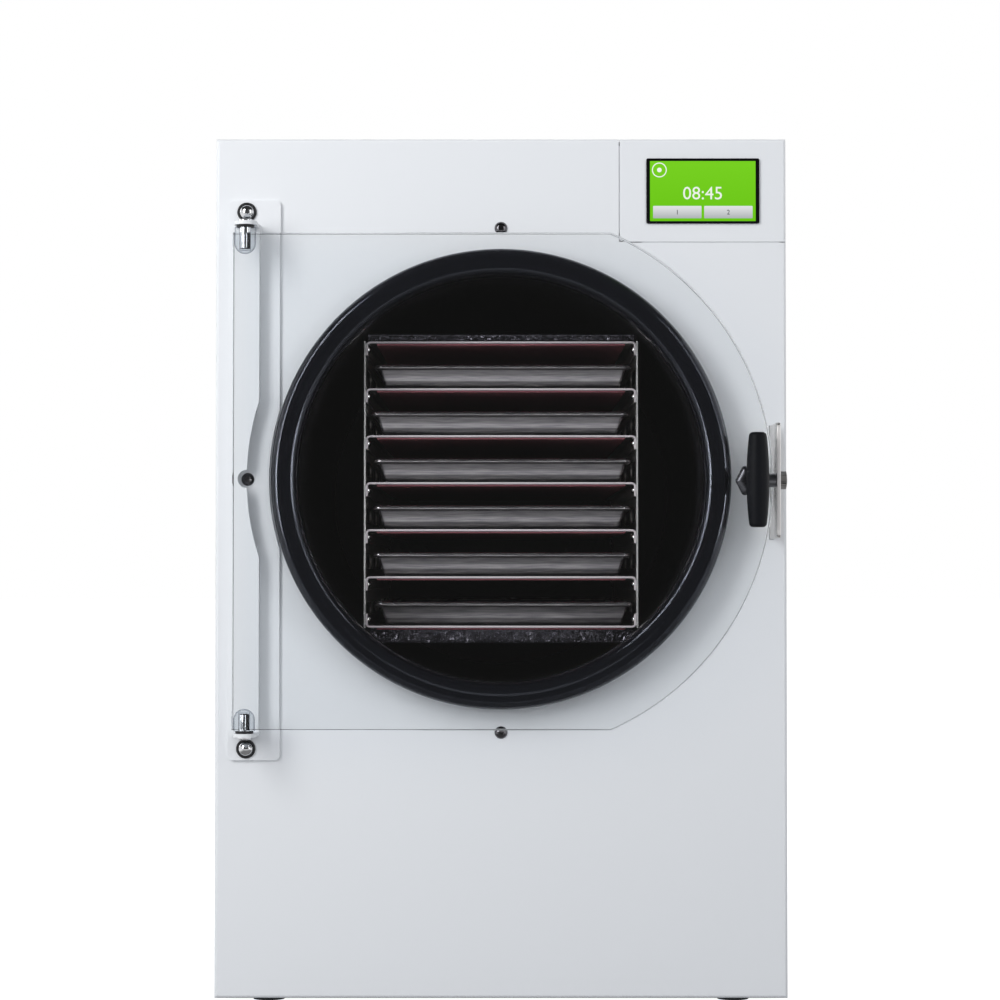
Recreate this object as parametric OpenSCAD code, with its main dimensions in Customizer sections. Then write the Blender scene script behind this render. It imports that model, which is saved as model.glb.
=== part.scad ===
/* Freeze dryer for food and samples: a folded steel cabinet with a horizontal vacuum
   drum behind a clear door, a heated shelf rack with six trays, and the refrigeration
   that chills the drum. Millimetres. +Z is up, the door faces -Y, the feet stand on z = 0. */

/* [Cabinet] */
// Width of the cabinet
cabinet_w = 514.3; // [480:1:640]
// Depth of the cabinet, from the front sheet to the rear sheet
cabinet_d = 600; // [590:1:760]
// Height of the cabinet, with its feet
cabinet_h = 781; // [775:1:940]
// Thickness of the cabinet sheets
sheet_t = 1.2; // [0.8:0.1:1.8]
// Fold radius at the cabinet's front edges
fold_r = 3; // [2.4:0.1:5]
// Depth of the folded edge of the front sheet
front_fold = 14; // [10:1:20]
// Gap between neighbouring outer sheets
seam = 0.8; // [0.4:0.1:0.9]
// Height of the rubber feet under the cabinet
foot_h = 8; // [6:0.5:14]
// Radius of a foot
foot_r = 16; // [12:1:20]

/* [Control panel] */
// Width of the control sheet at the top right corner
fascia_w = 150; // [135:1:170]
// Height of the control sheet
fascia_h = 93; // [84:1:110]
// Width of the screen's black frame
bezel_w = 102; // [90:1:115]
// Height of the screen's black frame
bezel_h = 59; // [50:1:66]
// Width of the lit screen
screen_w = 96; // [84:1:98]
// Height of the lit screen
screen_h = 55; // [46:1:56]
// Distance from the cabinet's right edge to the middle of the screen
screen_x = 75; // [62:1:85]
// Distance from the cabinet's top to the middle of the screen
screen_z = 47.3; // [36:1:56]

/* [Vacuum drum] */
// Height of the drum's axis above the floor
drum_z = 473; // [465:1:480]
// Inner radius of the drum
drum_r = 184; // [183.5:0.5:190]
// Wall of the drum
drum_wall = 3; // [2:0.5:4]
// Inner length of the drum behind the front sheet
drum_len = 578; // [570:1:580]
// How far the drum's rim stands in front of the front sheet
rim_out = 19; // [14:0.5:22]
// Radius of the mounting ring welded round the drum
ring_r = 238; // [234:1:240]
// Radius of the circle of ring screws
ring_screw_r = 227; // [222:1:230]
// Thickness of the foam jacket outside the coil
jacket_t = 19; // [12:1:22]

/* [Door seal] */
// How far the rubber seal spreads outside the drum's wall
seal_flange = 18.4; // [16:0.1:20]
// How far the seal's inner lip stands inside the drum's bore
seal_lip = 2.7; // [2:0.1:4]
// How far the seal stands in front of the front sheet
seal_out = 28; // [25:0.5:31]

/* [Shelf rack] */
// Distance between neighbouring shelves
shelf_pitch = 43.1; // [41:0.1:43.8]
// Extra distance between the lowest shelf and the next one
low_rise = 2.1; // [0:0.1:3]
// Number of trays
tray_count = 6; // [6:1:6]
// Width over the rack's two side plates
rack_w = 251; // [248:0.5:252]
// Thickness of a rack side plate
rack_t = 1.5; // [1:0.1:2]
// Thickness of a shelf
shelf_t = 2; // [1.5:0.1:2.5]
// Drop of the folded shelf ends
shelf_fold = 13; // [11:1:16]
// Distance from the front sheet back to the rack
rack_y = 50; // [44:1:56]
// Length of the shelves
rack_len = 518; // [500:1:518]
// Thickness of the heater mat under each shelf
heater_t = 1.6; // [1:0.1:2.5]

/* [Trays] */
// Gap between a tray's rim and the folded end of its shelf, at each side
tray_play = 4.5; // [3:0.5:8]
// How much shorter a tray is than its shelf
tray_end = 2; // [1:0.5:6]
// Height of a tray
tray_h = 21; // [15:0.5:22]
// Thickness of the tray's sheet
tray_t = 0.9; // [0.7:0.1:1.5]
// Plan radius of a tray's rim corners
tray_corner = 12; // [11:1:24]
// Radius of the turn between a tray's walls and its floor
tray_turn = 6; // [5:0.5:8]
// How far each wall leans in from rim to floor
tray_lean = 6; // [3:0.5:9]
// Width of the rolled rim
rim_w = 4; // [3:0.1:5]

/* [Door] */
// Radius of the door's round edge
door_r = 240.5; // [236:0.5:241]
// Height of the door between its flat edges
door_h = 440; // [424:1:452]
// Height of the door's middle above the floor
door_z = 470.5; // [466:0.5:474]
// Thickness of the clear door
door_t = 21; // [20:0.5:23]
// Distance from the cabinet's middle to the hinge axis
hinge_x = 227; // [226:0.5:229]
// Distance from the hinge axis to the door's hinge edge
hinge_edge = 10.5; // [10:0.5:13]
// Radius of the hinge pins
pin_r = 4.95; // [4:0.05:5.5]
// Running clearance of pins and spindle, on the radius
running = 0.05; // [0.02:0.01:0.1]
// Gap between the seal and the closed door
seal_gap = 0.3; // [0.2:0.1:0.5]

/* [Latch] */
// Distance from the cabinet's middle to the latch spindle
latch_x = 224; // [222:0.5:225]
// Radius of the latch spindle
spindle_r = 5; // [4:0.5:6]
// Length of the bar handle
handle_len = 83; // [70:1:96]
// Radius of the bar handle at its middle
handle_r = 10; // [8:0.5:10.5]
// Radius of the bar handle at its ends
handle_end_r = 7.4; // [6:0.1:8]
// Rounding of the handle's two ends
handle_round = 3.6; // [2:0.2:5]
// Reach of the cam's nose from the spindle
cam_reach = 17.2; // [15:0.2:17.4]
// Half width of the cam's shoulder
cam_half = 13; // [10:0.5:14]
// Distance from the cam's axis to its two shoulders
cam_shoulder = 7; // [3:0.5:8]
// Thickness of the cam
cam_t = 4.4; // [3:0.2:5]
// Radius of the strike pin
strike_r = 6; // [5:0.5:6.5]
// Height of the catch plate
catch_h = 102; // [84:1:120]
// Thickness of the catch plate
catch_t = 3.4; // [2.5:0.1:4]

/* [Refrigeration] */
// Radius of the compressor's can
comp_r = 75; // [60:1:80]
// Height of the compressor's can
comp_h = 196; // [150:1:200]
// Radius of the fan's tips
fan_r = 92; // [76:1:95]
// Number of fan blades
fan_blades = 5; // [4:1:7]
// Radius of the copper tubes
tube_r = 4; // [3:0.5:4.5]
// Number of turns of the chilling coil
coil_turns = 9; // [6:1:11]

/* [Rear fittings] */
// Radius of the vacuum port's threaded end
port_r = 7.94; // [6:0.02:9]
// Length of the vacuum port's threaded end
port_len = 14; // [10:1:18]
// Radius of the drain's hose spigot
spigot_r = 4.8; // [4:0.1:6.4]
// Length of the drain's hose spigot
spigot_len = 20; // [14:1:26]
// Length of the drain valve's lever
lever_len = 48; // [36:1:60]

/* [Hidden] */
$fn = 96;

seat = 0.3;      // play between neighbouring pieces that don't touch
cut = 1;         // how far a cutting solid runs past the face it opens
half_w = cabinet_w / 2;
body_h = cabinet_h - foot_h;

// Fore and aft places, counted back from the front sheet's outer face
door_back = -seal_out - seal_gap;
door_front = door_back - door_t;
cam_back = door_front - 0.5;
cam_front = cam_back - cam_t;
strike_y = cam_front - seat - strike_r;
catch_front = strike_y - strike_r - 1.5;
handle_y = catch_front - 1 - handle_r;
front_reach = -handle_y + handle_r;
valve_y = cabinet_d + 24;
valve_half = 13;
rear_reach = valve_y + valve_half;
front_y = (front_reach - rear_reach) / 2;

// Moves a piece from the front sheet's own frame to the frame of the whole object
module place() { translate([0, front_y, 0]) children(); }

// A plate drawn in X and Z, from y = y0 back by t
module wall(y0, t) { translate([0, y0 + t, 0]) rotate([90, 0, 0]) linear_extrude(t) children(); }

// A plate drawn in Y and Z, from x = x0 by t
module side(x0, t) { translate([x0, 0, 0]) rotate([90, 0, 90]) linear_extrude(t) children(); }

// Turns a revolved form so that its own +Z runs back along +Y, on the drum's axis
module on_drum() { translate([0, 0, drum_z]) rotate([-90, 0, 0]) children(); }

// A round bar along +Y, starting at p
module rod_y(p, r, l) { translate(p) rotate([-90, 0, 0]) cylinder(r = r, h = l); }

// A round bar along +X, starting at p
module rod_x(p, r, l) { translate(p) rotate([0, 90, 0]) cylinder(r = r, h = l); }

// A rectangle with round corners, from its lower left corner
module rounded(w, h, r) {
    translate([r, 0]) square([w - 2 * r, h]);
    translate([0, r]) square([w, h - 2 * r]);
    for (x = [r, w - r], y = [r, h - r]) translate([x, y]) circle(r);
}

// A rectangle whose two corners on its first edge are round
module nose(w, d, r) {
    translate([-w / 2, r]) square([w, d - r]);
    translate([-w / 2 + r, 0]) square([w - 2 * r, d]);
    for (x = [-1, 1]) translate([x * (w / 2 - r), r]) circle(r);
}

// A slot with round ends, lying along the first axis
module slot(l, w) {
    square([l - w, w], center = true);
    for (s = [-1, 1]) translate([s * (l - w) / 2, 0]) circle(w / 2);
}

// A domed screw that points along +Y: its head lies in front of the origin
module dome_screw(head_r, head_h, shank_r, shank_l) {
    dome = (head_r * head_r + head_h * head_h) / (2 * head_h);
    intersection() {
        translate([0, dome - head_h, 0]) sphere(dome);
        rod_y([0, -head_h, 0], head_r, head_h);
    }
    rod_y([0, -0.01, 0], shank_r, shank_l);
}

/* ---- Cabinet ---- */

// Solid outline of the folded front: round edges all the way round, w wide
module front_blank(inset) {
    w = cabinet_w - 2 * inset;
    h = body_h - 2 * inset;
    r = fold_r - inset;
    intersection() {
        translate([0, inset, foot_h]) linear_extrude(body_h) nose(w, front_fold, r);
        translate([-half_w, 0, foot_h + body_h / 2]) rotate([90, 0, 90])
            linear_extrude(cabinet_w) translate([inset, 0]) rotate(-90) nose(h, front_fold, r);
    }
}

// The whole folded front, before it is parted into the main sheet and the control sheet
module folded_front() {
    difference() {
        front_blank(0);
        front_blank(sheet_t);
        translate([-half_w - cut, front_fold, 0]) cube([cabinet_w + 2 * cut, 4, cabinet_h + cut]);
    }
}

fascia_x = half_w - fascia_w;
fascia_z = cabinet_h - fascia_h;

hinge_screw_z = [door_z + door_h / 2 + 23.7, door_z - door_h / 2 - 19];
hinge_screw_x = -hinge_x - 2;
hinge_screw_shank = 4;
ring_screw_shank = 2.5;
ring_screw_hole = ring_screw_shank + 0.2;
catch_x = door_r + 1.3;

module front_panel() {
    place() color("gainsboro") difference() {
        folded_front();
        translate([fascia_x - seam, -cut, fascia_z - seam])
            cube([fascia_w + 2 * seam, front_fold + 2 * cut, fascia_h + 2 * seam]);
        on_drum() translate([0, 0, -cut]) cylinder(r = drum_r + drum_wall + seat, h = 2 * cut + sheet_t);
        for (a = [0:90:270])
            on_drum() rotate(a) translate([ring_screw_r, 0, -cut])
                cylinder(r = ring_screw_hole, h = 2 * cut + sheet_t);
        for (z = hinge_screw_z)
            rod_y([hinge_screw_x, -cut, z], hinge_screw_shank + 0.2, 2 * cut + sheet_t);
        wall(-cut, 2 * cut + sheet_t)
            translate([catch_x - seat, door_z - catch_h / 2 - seat])
                square([catch_t + 2 * seat, catch_h + 2 * seat]);
    }
}

// The cover lies flush behind the folded front edge
wrap_y = front_fold + seam;
vent_rows = 9;
vent_pitch = 14;

module wrap_cover() {
    place() color("gainsboro") difference() {
        wall(wrap_y, cabinet_d - wrap_y) translate([0, cabinet_h]) rotate(180)
            nose(cabinet_w, body_h, fold_r);
        wall(wrap_y - cut, cabinet_d) translate([0, cabinet_h - sheet_t]) rotate(180)
            nose(cabinet_w - 2 * sheet_t, body_h, fold_r - sheet_t);
        // two banks of air slots low on each side
        side(-half_w - cut, cabinet_w + 2 * cut)
            for (bank = [0, 1], row = [0:vent_rows - 1])
                translate([230 + 150 * bank, foot_h + 60 + row * vent_pitch]) slot(120, 5);
    }
}

pan_t = 1.5;
pan_z = foot_h + sheet_t + 0.2;
pan_top = pan_z + pan_t;
pan_half = half_w - sheet_t - seat;
pan_front = fold_r + seat;
rear_y = cabinet_d - 1.4;
pan_len = rear_y - sheet_t - seat - pan_front;

module base_pan() {
    place() color("lightgray") difference() {
        translate([-pan_half, pan_front, pan_z]) cube([2 * pan_half, pan_len, 26]);
        translate([-pan_half + pan_t, pan_front + pan_t, pan_top])
            cube([2 * (pan_half - pan_t), pan_len - 2 * pan_t, 26]);
    }
}

module feet() {
    place() color("#202020")
        for (x = [-1, 1], y = [55, cabinet_d - 55])
            translate([x * (half_w - 45), y, 0]) {
                cylinder(r1 = foot_r - 1.5, r2 = foot_r, h = 4);
                translate([0, 0, 4]) cylinder(r = foot_r, h = pan_z - 4);
            }
}

// The fan blows out through rows of slots inside a circle
fan_x = 128;
fan_z = 125;
grille_pitch = 11;
grille_rows = 7;

module grille_slots(r) {
    for (i = [-grille_rows:grille_rows]) {
        z = i * grille_pitch;
        half = sqrt(r * r - z * z);
        for (s = [-1, 1]) translate([s * (half / 2 + 2), z]) slot(half - 5, 6);
    }
}

inlet_x = -175;
inlet_z = 118;
outlet_x = -175;
outlet_z = 178;
switch_x = -175;
switch_z = 62;
port_x = -50;
port_z = drum_z + 60;
drain_z = drum_z - 238;
outlet_face_w = 34;
outlet_face_h = 27;

module rear_panel() {
    w = 2 * pan_half;
    lip = 12;
    top = cabinet_h - sheet_t - seat;
    place() color("gainsboro") difference() {
        union() {
            wall(rear_y - sheet_t, sheet_t) translate([-w / 2, pan_z]) rounded(w, top - pan_z, fold_r);
            for (x = [-w / 2, w / 2 - sheet_t])
                translate([x, rear_y - lip, pan_top + 27]) cube([sheet_t, lip, top - pan_top - 27 - fold_r]);
            translate([-w / 2 + fold_r, rear_y - lip, top - sheet_t]) cube([w - 2 * fold_r, lip, sheet_t]);
        }
        wall(rear_y - sheet_t - cut, sheet_t + 2 * cut) {
            translate([fan_x, fan_z]) grille_slots(fan_r);
            translate([inlet_x - 14, inlet_z - 10.5]) square([28, 21]);
            translate([outlet_x - outlet_face_w / 2 - 0.4, outlet_z - outlet_face_h / 2 - 0.4])
                square([outlet_face_w + 0.8, outlet_face_h + 0.8]);
            translate([switch_x - 14, switch_z - 11.5]) square([28, 23]);
            translate([port_x, port_z]) circle(11);
            translate([0, drain_z]) circle(9.4);
            for (p = rear_screw_places) translate(p) circle(2.2);
        }
    }
}

rear_screw_places = [for (x = [-1, 1], z = [0, 0.33, 0.66, 1]) [x * (half_w - 9), 52 + z * (cabinet_h - 64)]];

// Pan head screws round the rear sheet
module cover_screws() {
    place() color("silver")
        for (p = rear_screw_places)
            translate([p[0], rear_y, p[1]]) rotate([0, 0, 180]) dome_screw(4.2, 2.4, 2, 6);
}

/* ---- Controls ---- */

scr_x = half_w - screen_x;
scr_z = cabinet_h - screen_z;
bezel_out = 1.6;
tongue = 11;

module control_fascia() {
    place() color("gainsboro") difference() {
        union() {
            intersection() {
                folded_front();
                translate([fascia_x, -cut, fascia_z]) cube([fascia_w + cut, front_fold + 2, fascia_h + cut]);
            }
            // joggled edges that tuck behind the main sheet
            translate([fascia_x, sheet_t - 0.01, fascia_z]) cube([4, sheet_t + seat, fascia_h - sheet_t]);
            translate([fascia_x - tongue, sheet_t + seat, fascia_z + 8])
                cube([tongue + 1, sheet_t, fascia_h - 14]);
            translate([fascia_x, sheet_t - 0.01, fascia_z]) cube([fascia_w - sheet_t, sheet_t + seat, 4]);
            translate([fascia_x + 20, sheet_t + seat, fascia_z - tongue])
                cube([fascia_w - 26, sheet_t, tongue + 1]);
        }
        wall(-cut, 4 * cut + sheet_t)
            translate([scr_x - screen_w / 2 - 0.5, scr_z - screen_h / 2 - 0.5])
                square([screen_w + 1, screen_h + 1]);
    }
}

module screen_bezel() {
    place() color("#0c0c0e") difference() {
        wall(-bezel_out, bezel_out)
            translate([scr_x - bezel_w / 2, scr_z - bezel_h / 2]) rounded(bezel_w, bezel_h, 1.5);
        wall(-bezel_out - cut, bezel_out + 2 * cut)
            translate([scr_x - screen_w / 2, scr_z - screen_h / 2]) square([screen_w, screen_h]);
    }
}

module display_module() {
    play = 0.2;
    place() {
        color("limegreen") wall(-0.8, 8.8)
            translate([scr_x - screen_w / 2 + play, scr_z - screen_h / 2 + play])
                square([screen_w - 2 * play, screen_h - 2 * play]);
        color("darkgreen") wall(8, 1.6)
            translate([scr_x - 56, scr_z - 33]) square([112, 66]);
        // spacers that hold the circuit board to the control sheet
        color("silver") for (x = [-52, 52], z = [-29.5, 29.5])
            rod_y([scr_x + x, sheet_t, scr_z + z], 2.5, 6.9);
    }
}

module control_board() {
    board_y = 22;
    place() {
        color("darkgreen") wall(board_y, 1.6) translate([scr_x - 56, scr_z - 33]) square([112, 66]);
        color("silver") for (x = [-52, 52], z = [-29.5, 29.5])
            rod_y([scr_x + x, 9.6, scr_z + z], 2.5, board_y - 9.6 + 0.01);
        color("#202428") for (x = [-44, -18, 8])
            translate([scr_x + x, board_y + 1.59, scr_z - 24]) cube([19, 15, 16]);
        color("#8a9096") translate([scr_x - 44, board_y + 1.59, scr_z + 6]) cube([34, 22, 20]);
        color("black") for (x = [4, 20, 36])
            rod_y([scr_x + x, board_y + 1.59, scr_z + 16], 6, 18);
    }
}

/* ---- Vacuum drum ---- */

drum_out_r = drum_r + drum_wall;
seal_r = drum_out_r + seal_flange;
seal_in_r = drum_r - seal_lip;

module drum_shell() {
    place() color("#151518") difference() {
        on_drum() translate([0, 0, -rim_out]) cylinder(r = drum_out_r, h = rim_out + drum_len);
        on_drum() translate([0, 0, -rim_out - cut]) cylinder(r = drum_r, h = rim_out + drum_len + 2 * cut);
        // drain opening at the lowest line of the drum
        translate([0, drain_y, drum_z - drum_out_r - cut]) cylinder(r = 6, h = drum_wall + 2 * cut);
    }
}

drain_y = drum_len - 30;

// Flat rear end of the drum, stiffened by one pressed ring
module drum_end() {
    place() color("#151518") difference() {
        on_drum() translate([0, 0, drum_len]) rotate_extrude()
            polygon([[0, 0], [92, 0], [100, 3], [116, 3], [124, 0], [drum_out_r, 0], [drum_out_r, 3],
                     [126, 3], [118, 6], [98, 6], [90, 3], [0, 3]]);
        rod_y([port_x, drum_len - cut, port_z], 6, 10);
    }
}

// Ring welded round the drum, with tabs that carry the latch side and the hinge side
module drum_ring() {
    ring_t = 3;
    place() color("dimgray") difference() {
        wall(sheet_t, ring_t) {
            translate([0, drum_z]) circle(ring_r);
            translate([ring_screw_r - 30, door_z - catch_h / 2 - 6])
                square([half_w - 6 - ring_screw_r + 30, catch_h + 12]);
        }
        on_drum() cylinder(r = drum_out_r, h = 10);
        for (a = [0:90:270])
            on_drum() rotate(a) translate([ring_screw_r, 0, 0]) cylinder(r = ring_screw_shank + 0.05, h = 10);
    }
}

// Moulded rubber seal, pushed over the drum's rim
module door_seal() {
    groove = 0.1;
    bead = 5;
    place() color("#0a0a0b") on_drum() translate([0, 0, -seal_out]) rotate_extrude() difference() {
        union() {
            translate([seal_in_r, bead]) square([seal_r - seal_in_r, seal_out - bead]);
            translate([seal_in_r + bead, 0]) square([seal_r - seal_in_r - 2 * bead, bead + 1]);
            translate([seal_in_r + bead, bead]) circle(bead);
            translate([seal_r - bead, bead]) circle(bead);
        }
        // groove for the rim
        translate([drum_r - groove, seal_out - rim_out]) square([drum_wall + 2 * groove, rim_out + cut]);
        // the inner lip ends just inside the drum
        translate([seal_in_r - cut, seal_out - 8]) square([drum_r - seal_in_r + cut, 8 + cut]);
        // the outer face is waisted between its two beads
        translate([seal_r + 6, seal_out / 2 + 1]) circle(7);
    }
}

module ring_screws() {
    place() color("silver")
        for (a = [0:90:270])
            translate([ring_screw_r * cos(a), a == 180 ? -bracket_t : 0, drum_z + ring_screw_r * sin(a)])
                dome_screw(5.8, 3.6, ring_screw_shank, 9);
}

coil_r = drum_out_r + seat + tube_r;
coil_y0 = 60;
coil_pitch = (drum_len - 70 - coil_y0) / (coil_turns - 1);
coil_open = 7;

// Copper coil round the drum: one ring a turn, joined end to end by short bridges
module chilling_coil() {
    end_x = coil_r * sin(coil_open);
    end_z = drum_z - coil_r * cos(coil_open);
    place() color("#b06a3c") {
        for (i = [0:coil_turns - 1])
            translate([0, coil_y0 + i * coil_pitch, drum_z]) rotate([-90, 0, 0]) rotate(90 + coil_open)
                rotate_extrude(angle = 360 - 2 * coil_open) translate([coil_r, 0]) circle(tube_r, $fn = 24);
        for (i = [0:coil_turns - 1], s = [-1, 1])
            translate([s * end_x, coil_y0 + i * coil_pitch, end_z]) sphere(tube_r + 0.2, $fn = 24);
        for (i = [0:coil_turns - 2])
            rod_y([(i % 2 == 0 ? 1 : -1) * end_x, coil_y0 + i * coil_pitch, end_z], tube_r, coil_pitch);
        // tails down through the jacket
        for (s = [-1, 1])
            translate([s * end_x, s < 0 ? coil_y0 : coil_y0 + (coil_turns - 1) * coil_pitch, tail_z])
                cylinder(r = tube_r, h = end_z - tail_z);
    }
}

jacket_in_r = coil_r + tube_r + 0.7;
jacket_r = jacket_in_r + jacket_t;
jacket_front = sheet_t + 3.3;
jacket_back = cabinet_d - 5;
tail_z = drum_z - jacket_r - 8;

module foam_jacket() {
    place() color("#d8d2b8") difference() {
        on_drum() translate([0, 0, jacket_front]) cylinder(r = jacket_r, h = jacket_back - jacket_front);
        on_drum() translate([0, 0, jacket_front - cut])
            cylinder(r = jacket_in_r, h = drum_len + 6.5 - jacket_front + cut);
        // ways out for the coil's tails, the drain and the vacuum pipe
        for (s = [-1, 1])
            translate([s * coil_r * sin(coil_open), s < 0 ? coil_y0 : coil_y0 + (coil_turns - 1) * coil_pitch,
                       tail_z - 10]) cylinder(r = tube_r + 0.5, h = 60);
        translate([0, drain_y, tail_z - 10]) cylinder(r = 9, h = 60);
        rod_y([port_x, drum_len, port_z], 9, cabinet_d - drum_len);
    }
}

// Two pressed saddles carry the jacketed drum from the base pan
saddle_y = [70, 425];

module drum_saddles() {
    half = 178;
    top = drum_z - 118;
    window_low = pan_top + 24;
    window_top = drum_z - jacket_r - 14;
    place() color("lightgray") difference() {
        for (y = saddle_y) {
            wall(y, 2) difference() {
                translate([-half, pan_top]) square([2 * half, top - pan_top]);
                translate([-half + 34, window_low]) rounded(2 * half - 68, window_top - window_low, 20);
            }
            translate([-half, y + 1.99, pan_top]) cube([2 * half, 18, 2]);
            for (x = [-half, half - 2]) translate([x, y + 1.99, pan_top]) cube([2, 18, top - pan_top]);
        }
        on_drum() cylinder(r = jacket_r + seat, h = cabinet_d);
    }
}

/* ---- Refrigeration ---- */

comp_x = -70;
comp_y = 240;
comp_foot = 58;
grommet_h = 12;

// Hermetic compressor: a domed can on a square foot plate
module compressor() {
    plate_z = pan_top + grommet_h;
    shoulder = 34;
    place() translate([comp_x, comp_y, plate_z]) {
        color("#1b1b1d") {
            difference() {
                translate([-comp_foot - 14, -comp_foot - 14, 0])
                    cube([2 * comp_foot + 28, 2 * comp_foot + 28, 3]);
                for (x = [-comp_foot, comp_foot], y = [-comp_foot, comp_foot])
                    translate([x, y, -cut]) cylinder(r = 5.2, h = 6);
            }
            translate([0, 0, 2.99]) rotate_extrude() {
                square([comp_r, comp_h - shoulder]);
                square([comp_r - shoulder, comp_h]);
                intersection() {
                    translate([comp_r - shoulder, comp_h - shoulder]) circle(shoulder);
                    square([comp_r + cut, comp_h + cut]);
                }
            }
            // welded seam round the can
            translate([0, 0, comp_h * 0.45]) cylinder(r = comp_r + 3, h = 4);
            // terminal box
            translate([-comp_r - 16, -22, 60]) cube([26, 44, 50]);
        }
        color("#b06a3c") for (x = [-30, 30])
            translate([x, 0, comp_h - 20]) cylinder(r = tube_r + 1, h = 36);
    }
}

module compressor_grommets() {
    place() color("#202020")
        for (x = [-comp_foot, comp_foot], y = [-comp_foot, comp_foot])
            translate([comp_x + x, comp_y + y, pan_top]) {
                cylinder(r = 10, h = grommet_h);
                cylinder(r = 5, h = grommet_h + 6);
            }
}

cond_y = 452;
cond_d = 38;
cond_half = 100;
cond_z0 = pan_top;
cond_h = 214;
fins = 25;

// Finned tube condenser, standing on its two end plates
module condenser() {
    place() translate([fan_x, cond_y, 0]) {
        color("silver") {
            for (s = [-1, 1])
                translate([s > 0 ? cond_half : -cond_half - 1.5, 0, cond_z0]) cube([1.5, cond_d, cond_h]);
            for (i = [1:fins])
                translate([-cond_half + i * 2 * cond_half / (fins + 1) - 0.4, 1, cond_z0 + 10])
                    cube([0.8, cond_d - 2, cond_h - 14]);
        }
        color("#b06a3c") for (i = [0:5])
            rod_x([-cond_half - 5, cond_d / 2, cond_z0 + 26 + i * 34], tube_r, 2 * cond_half + 10);
    }
}

shroud_y = cond_y + cond_d + 0.3;
shroud_d = 18;
orifice_r = fan_r + 4;

module fan_shroud() {
    t = 1.2;
    place() color("lightgray") difference() {
        union() {
            translate([fan_x - cond_half - 1.5, shroud_y, cond_z0])
                cube([2 * cond_half + 3, shroud_d, cond_h]);
            rod_y([fan_x, shroud_y + shroud_d - 0.01, fan_z], orifice_r + t, 14);
        }
        translate([fan_x - cond_half - 1.5 + t, shroud_y - cut, cond_z0 + t])
            cube([2 * cond_half + 3 - 2 * t, shroud_d - t + cut, cond_h - 2 * t]);
        rod_y([fan_x, shroud_y, fan_z], orifice_r, 40);
    }
}

rotor_y = shroud_y + shroud_d - 4;
rotor_d = 20;
motor_y = rotor_y + rotor_d + 6;
shaft_r = 3;

// Shaded pole motor on a three armed bracket
module fan_motor() {
    arm_y = motor_y + 8;
    place() color("#3a3c40") {
        rod_y([fan_x, motor_y, fan_z], 34, 34);
        rod_y([fan_x, rotor_y + 4, fan_z], shaft_r, motor_y - rotor_y);
        for (a = [90, 210, 330]) translate([fan_x, 0, fan_z]) rotate([0, a, 0]) {
            translate([30, arm_y, -5]) cube([orifice_r + 8 - 30, 2.5, 10]);
            translate([orifice_r + 5.5, shroud_y + shroud_d, -5])
                cube([2.5, arm_y + 2.5 - shroud_y - shroud_d, 10]);
        }
    }
}

module fan_rotor() {
    hub_r = 24;
    pitch = 28;
    place() color("#2b2d30") translate([fan_x, rotor_y, fan_z]) rotate([-90, 0, 0]) difference() {
        union() {
            cylinder(r = hub_r, h = rotor_d);
            intersection() {
                for (i = [0:fan_blades - 1]) rotate(i * 360 / fan_blades)
                    translate([0, 0, rotor_d / 2]) rotate([pitch, 0, 0])
                        translate([hub_r - 4, -20, -0.8]) cube([fan_r, 40, 1.6]);
                cylinder(r = fan_r, h = rotor_d);
            }
        }
        translate([0, 0, 2]) cylinder(r = shaft_r + running, h = rotor_d);
    }
}

drier_y = 330;
drier_x = 60;
drier_z = 60;
drier_len = 90;

module filter_drier() {
    place() color("#b87333") {
        rod_y([drier_x, drier_y, drier_z], 12, drier_len);
        rod_y([drier_x, drier_y - 12, drier_z], tube_r + 1, drier_len + 24);
    }
}

// A run of copper tube through a list of places, with a brazed elbow at each
module tube_run(p) {
    for (i = [0:len(p) - 2]) {
        v = p[i + 1] - p[i];
        translate(p[i]) rotate([0, acos(v[2] / norm(v)), atan2(v[1], v[0])])
            cylinder(r = tube_r, h = norm(v), $fn = 24);
    }
    for (i = [1:len(p) - 2]) translate(p[i]) sphere(tube_r + 0.8, $fn = 24);
}

module copper_lines() {
    can_top = pan_top + grommet_h + comp_h + 16;
    coil_x = coil_r * sin(coil_open);
    coil_end = coil_y0 + (coil_turns - 1) * coil_pitch;
    low = cond_z0 + 26;
    high = low + 5 * 34;
    left = fan_x - cond_half - 5 - tube_r;
    under = tail_z - 20;
    mid_y = cond_y + cond_d / 2;
    place() color("#b06a3c") {
        // hot gas from the compressor to the condenser
        tube_run([[comp_x + 30, comp_y, can_top], [comp_x + 30, comp_y, can_top + 9],
                  [left, mid_y - 50, high + 16], [left, mid_y, high + 16], [left, mid_y, high]]);
        // liquid from the condenser to the drier
        tube_run([[left, mid_y, low], [left, cond_y - 20, low], [drier_x, drier_y + drier_len + 24, drier_z],
                  [drier_x, drier_y + drier_len + 12, drier_z]]);
        // liquid from the drier to the coil's rear tail
        tube_run([[drier_x, drier_y - 12, drier_z], [drier_x, drier_y - 30, drier_z],
                  [drier_x - 30, drier_y, under], [coil_x, coil_end, under], [coil_x, coil_end, tail_z]]);
        // cold gas back from the coil's front tail
        tube_run([[-coil_x, coil_y0, tail_z], [-coil_x, coil_y0, under - 20],
                  [-coil_x, coil_y0 + 50, under - 20], [comp_x - 30, comp_y, can_top + 9],
                  [comp_x - 30, comp_y, can_top]]);
    }
}

/* ---- Rear fittings ---- */

module vacuum_pipe() {
    place() color("silver") difference() {
        rod_y([port_x, drum_len + 3, port_z], 8, rear_y - sheet_t - drum_len - 3.3);
        rod_y([port_x, drum_len, port_z], 6, cabinet_d - drum_len);
    }
}

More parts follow.
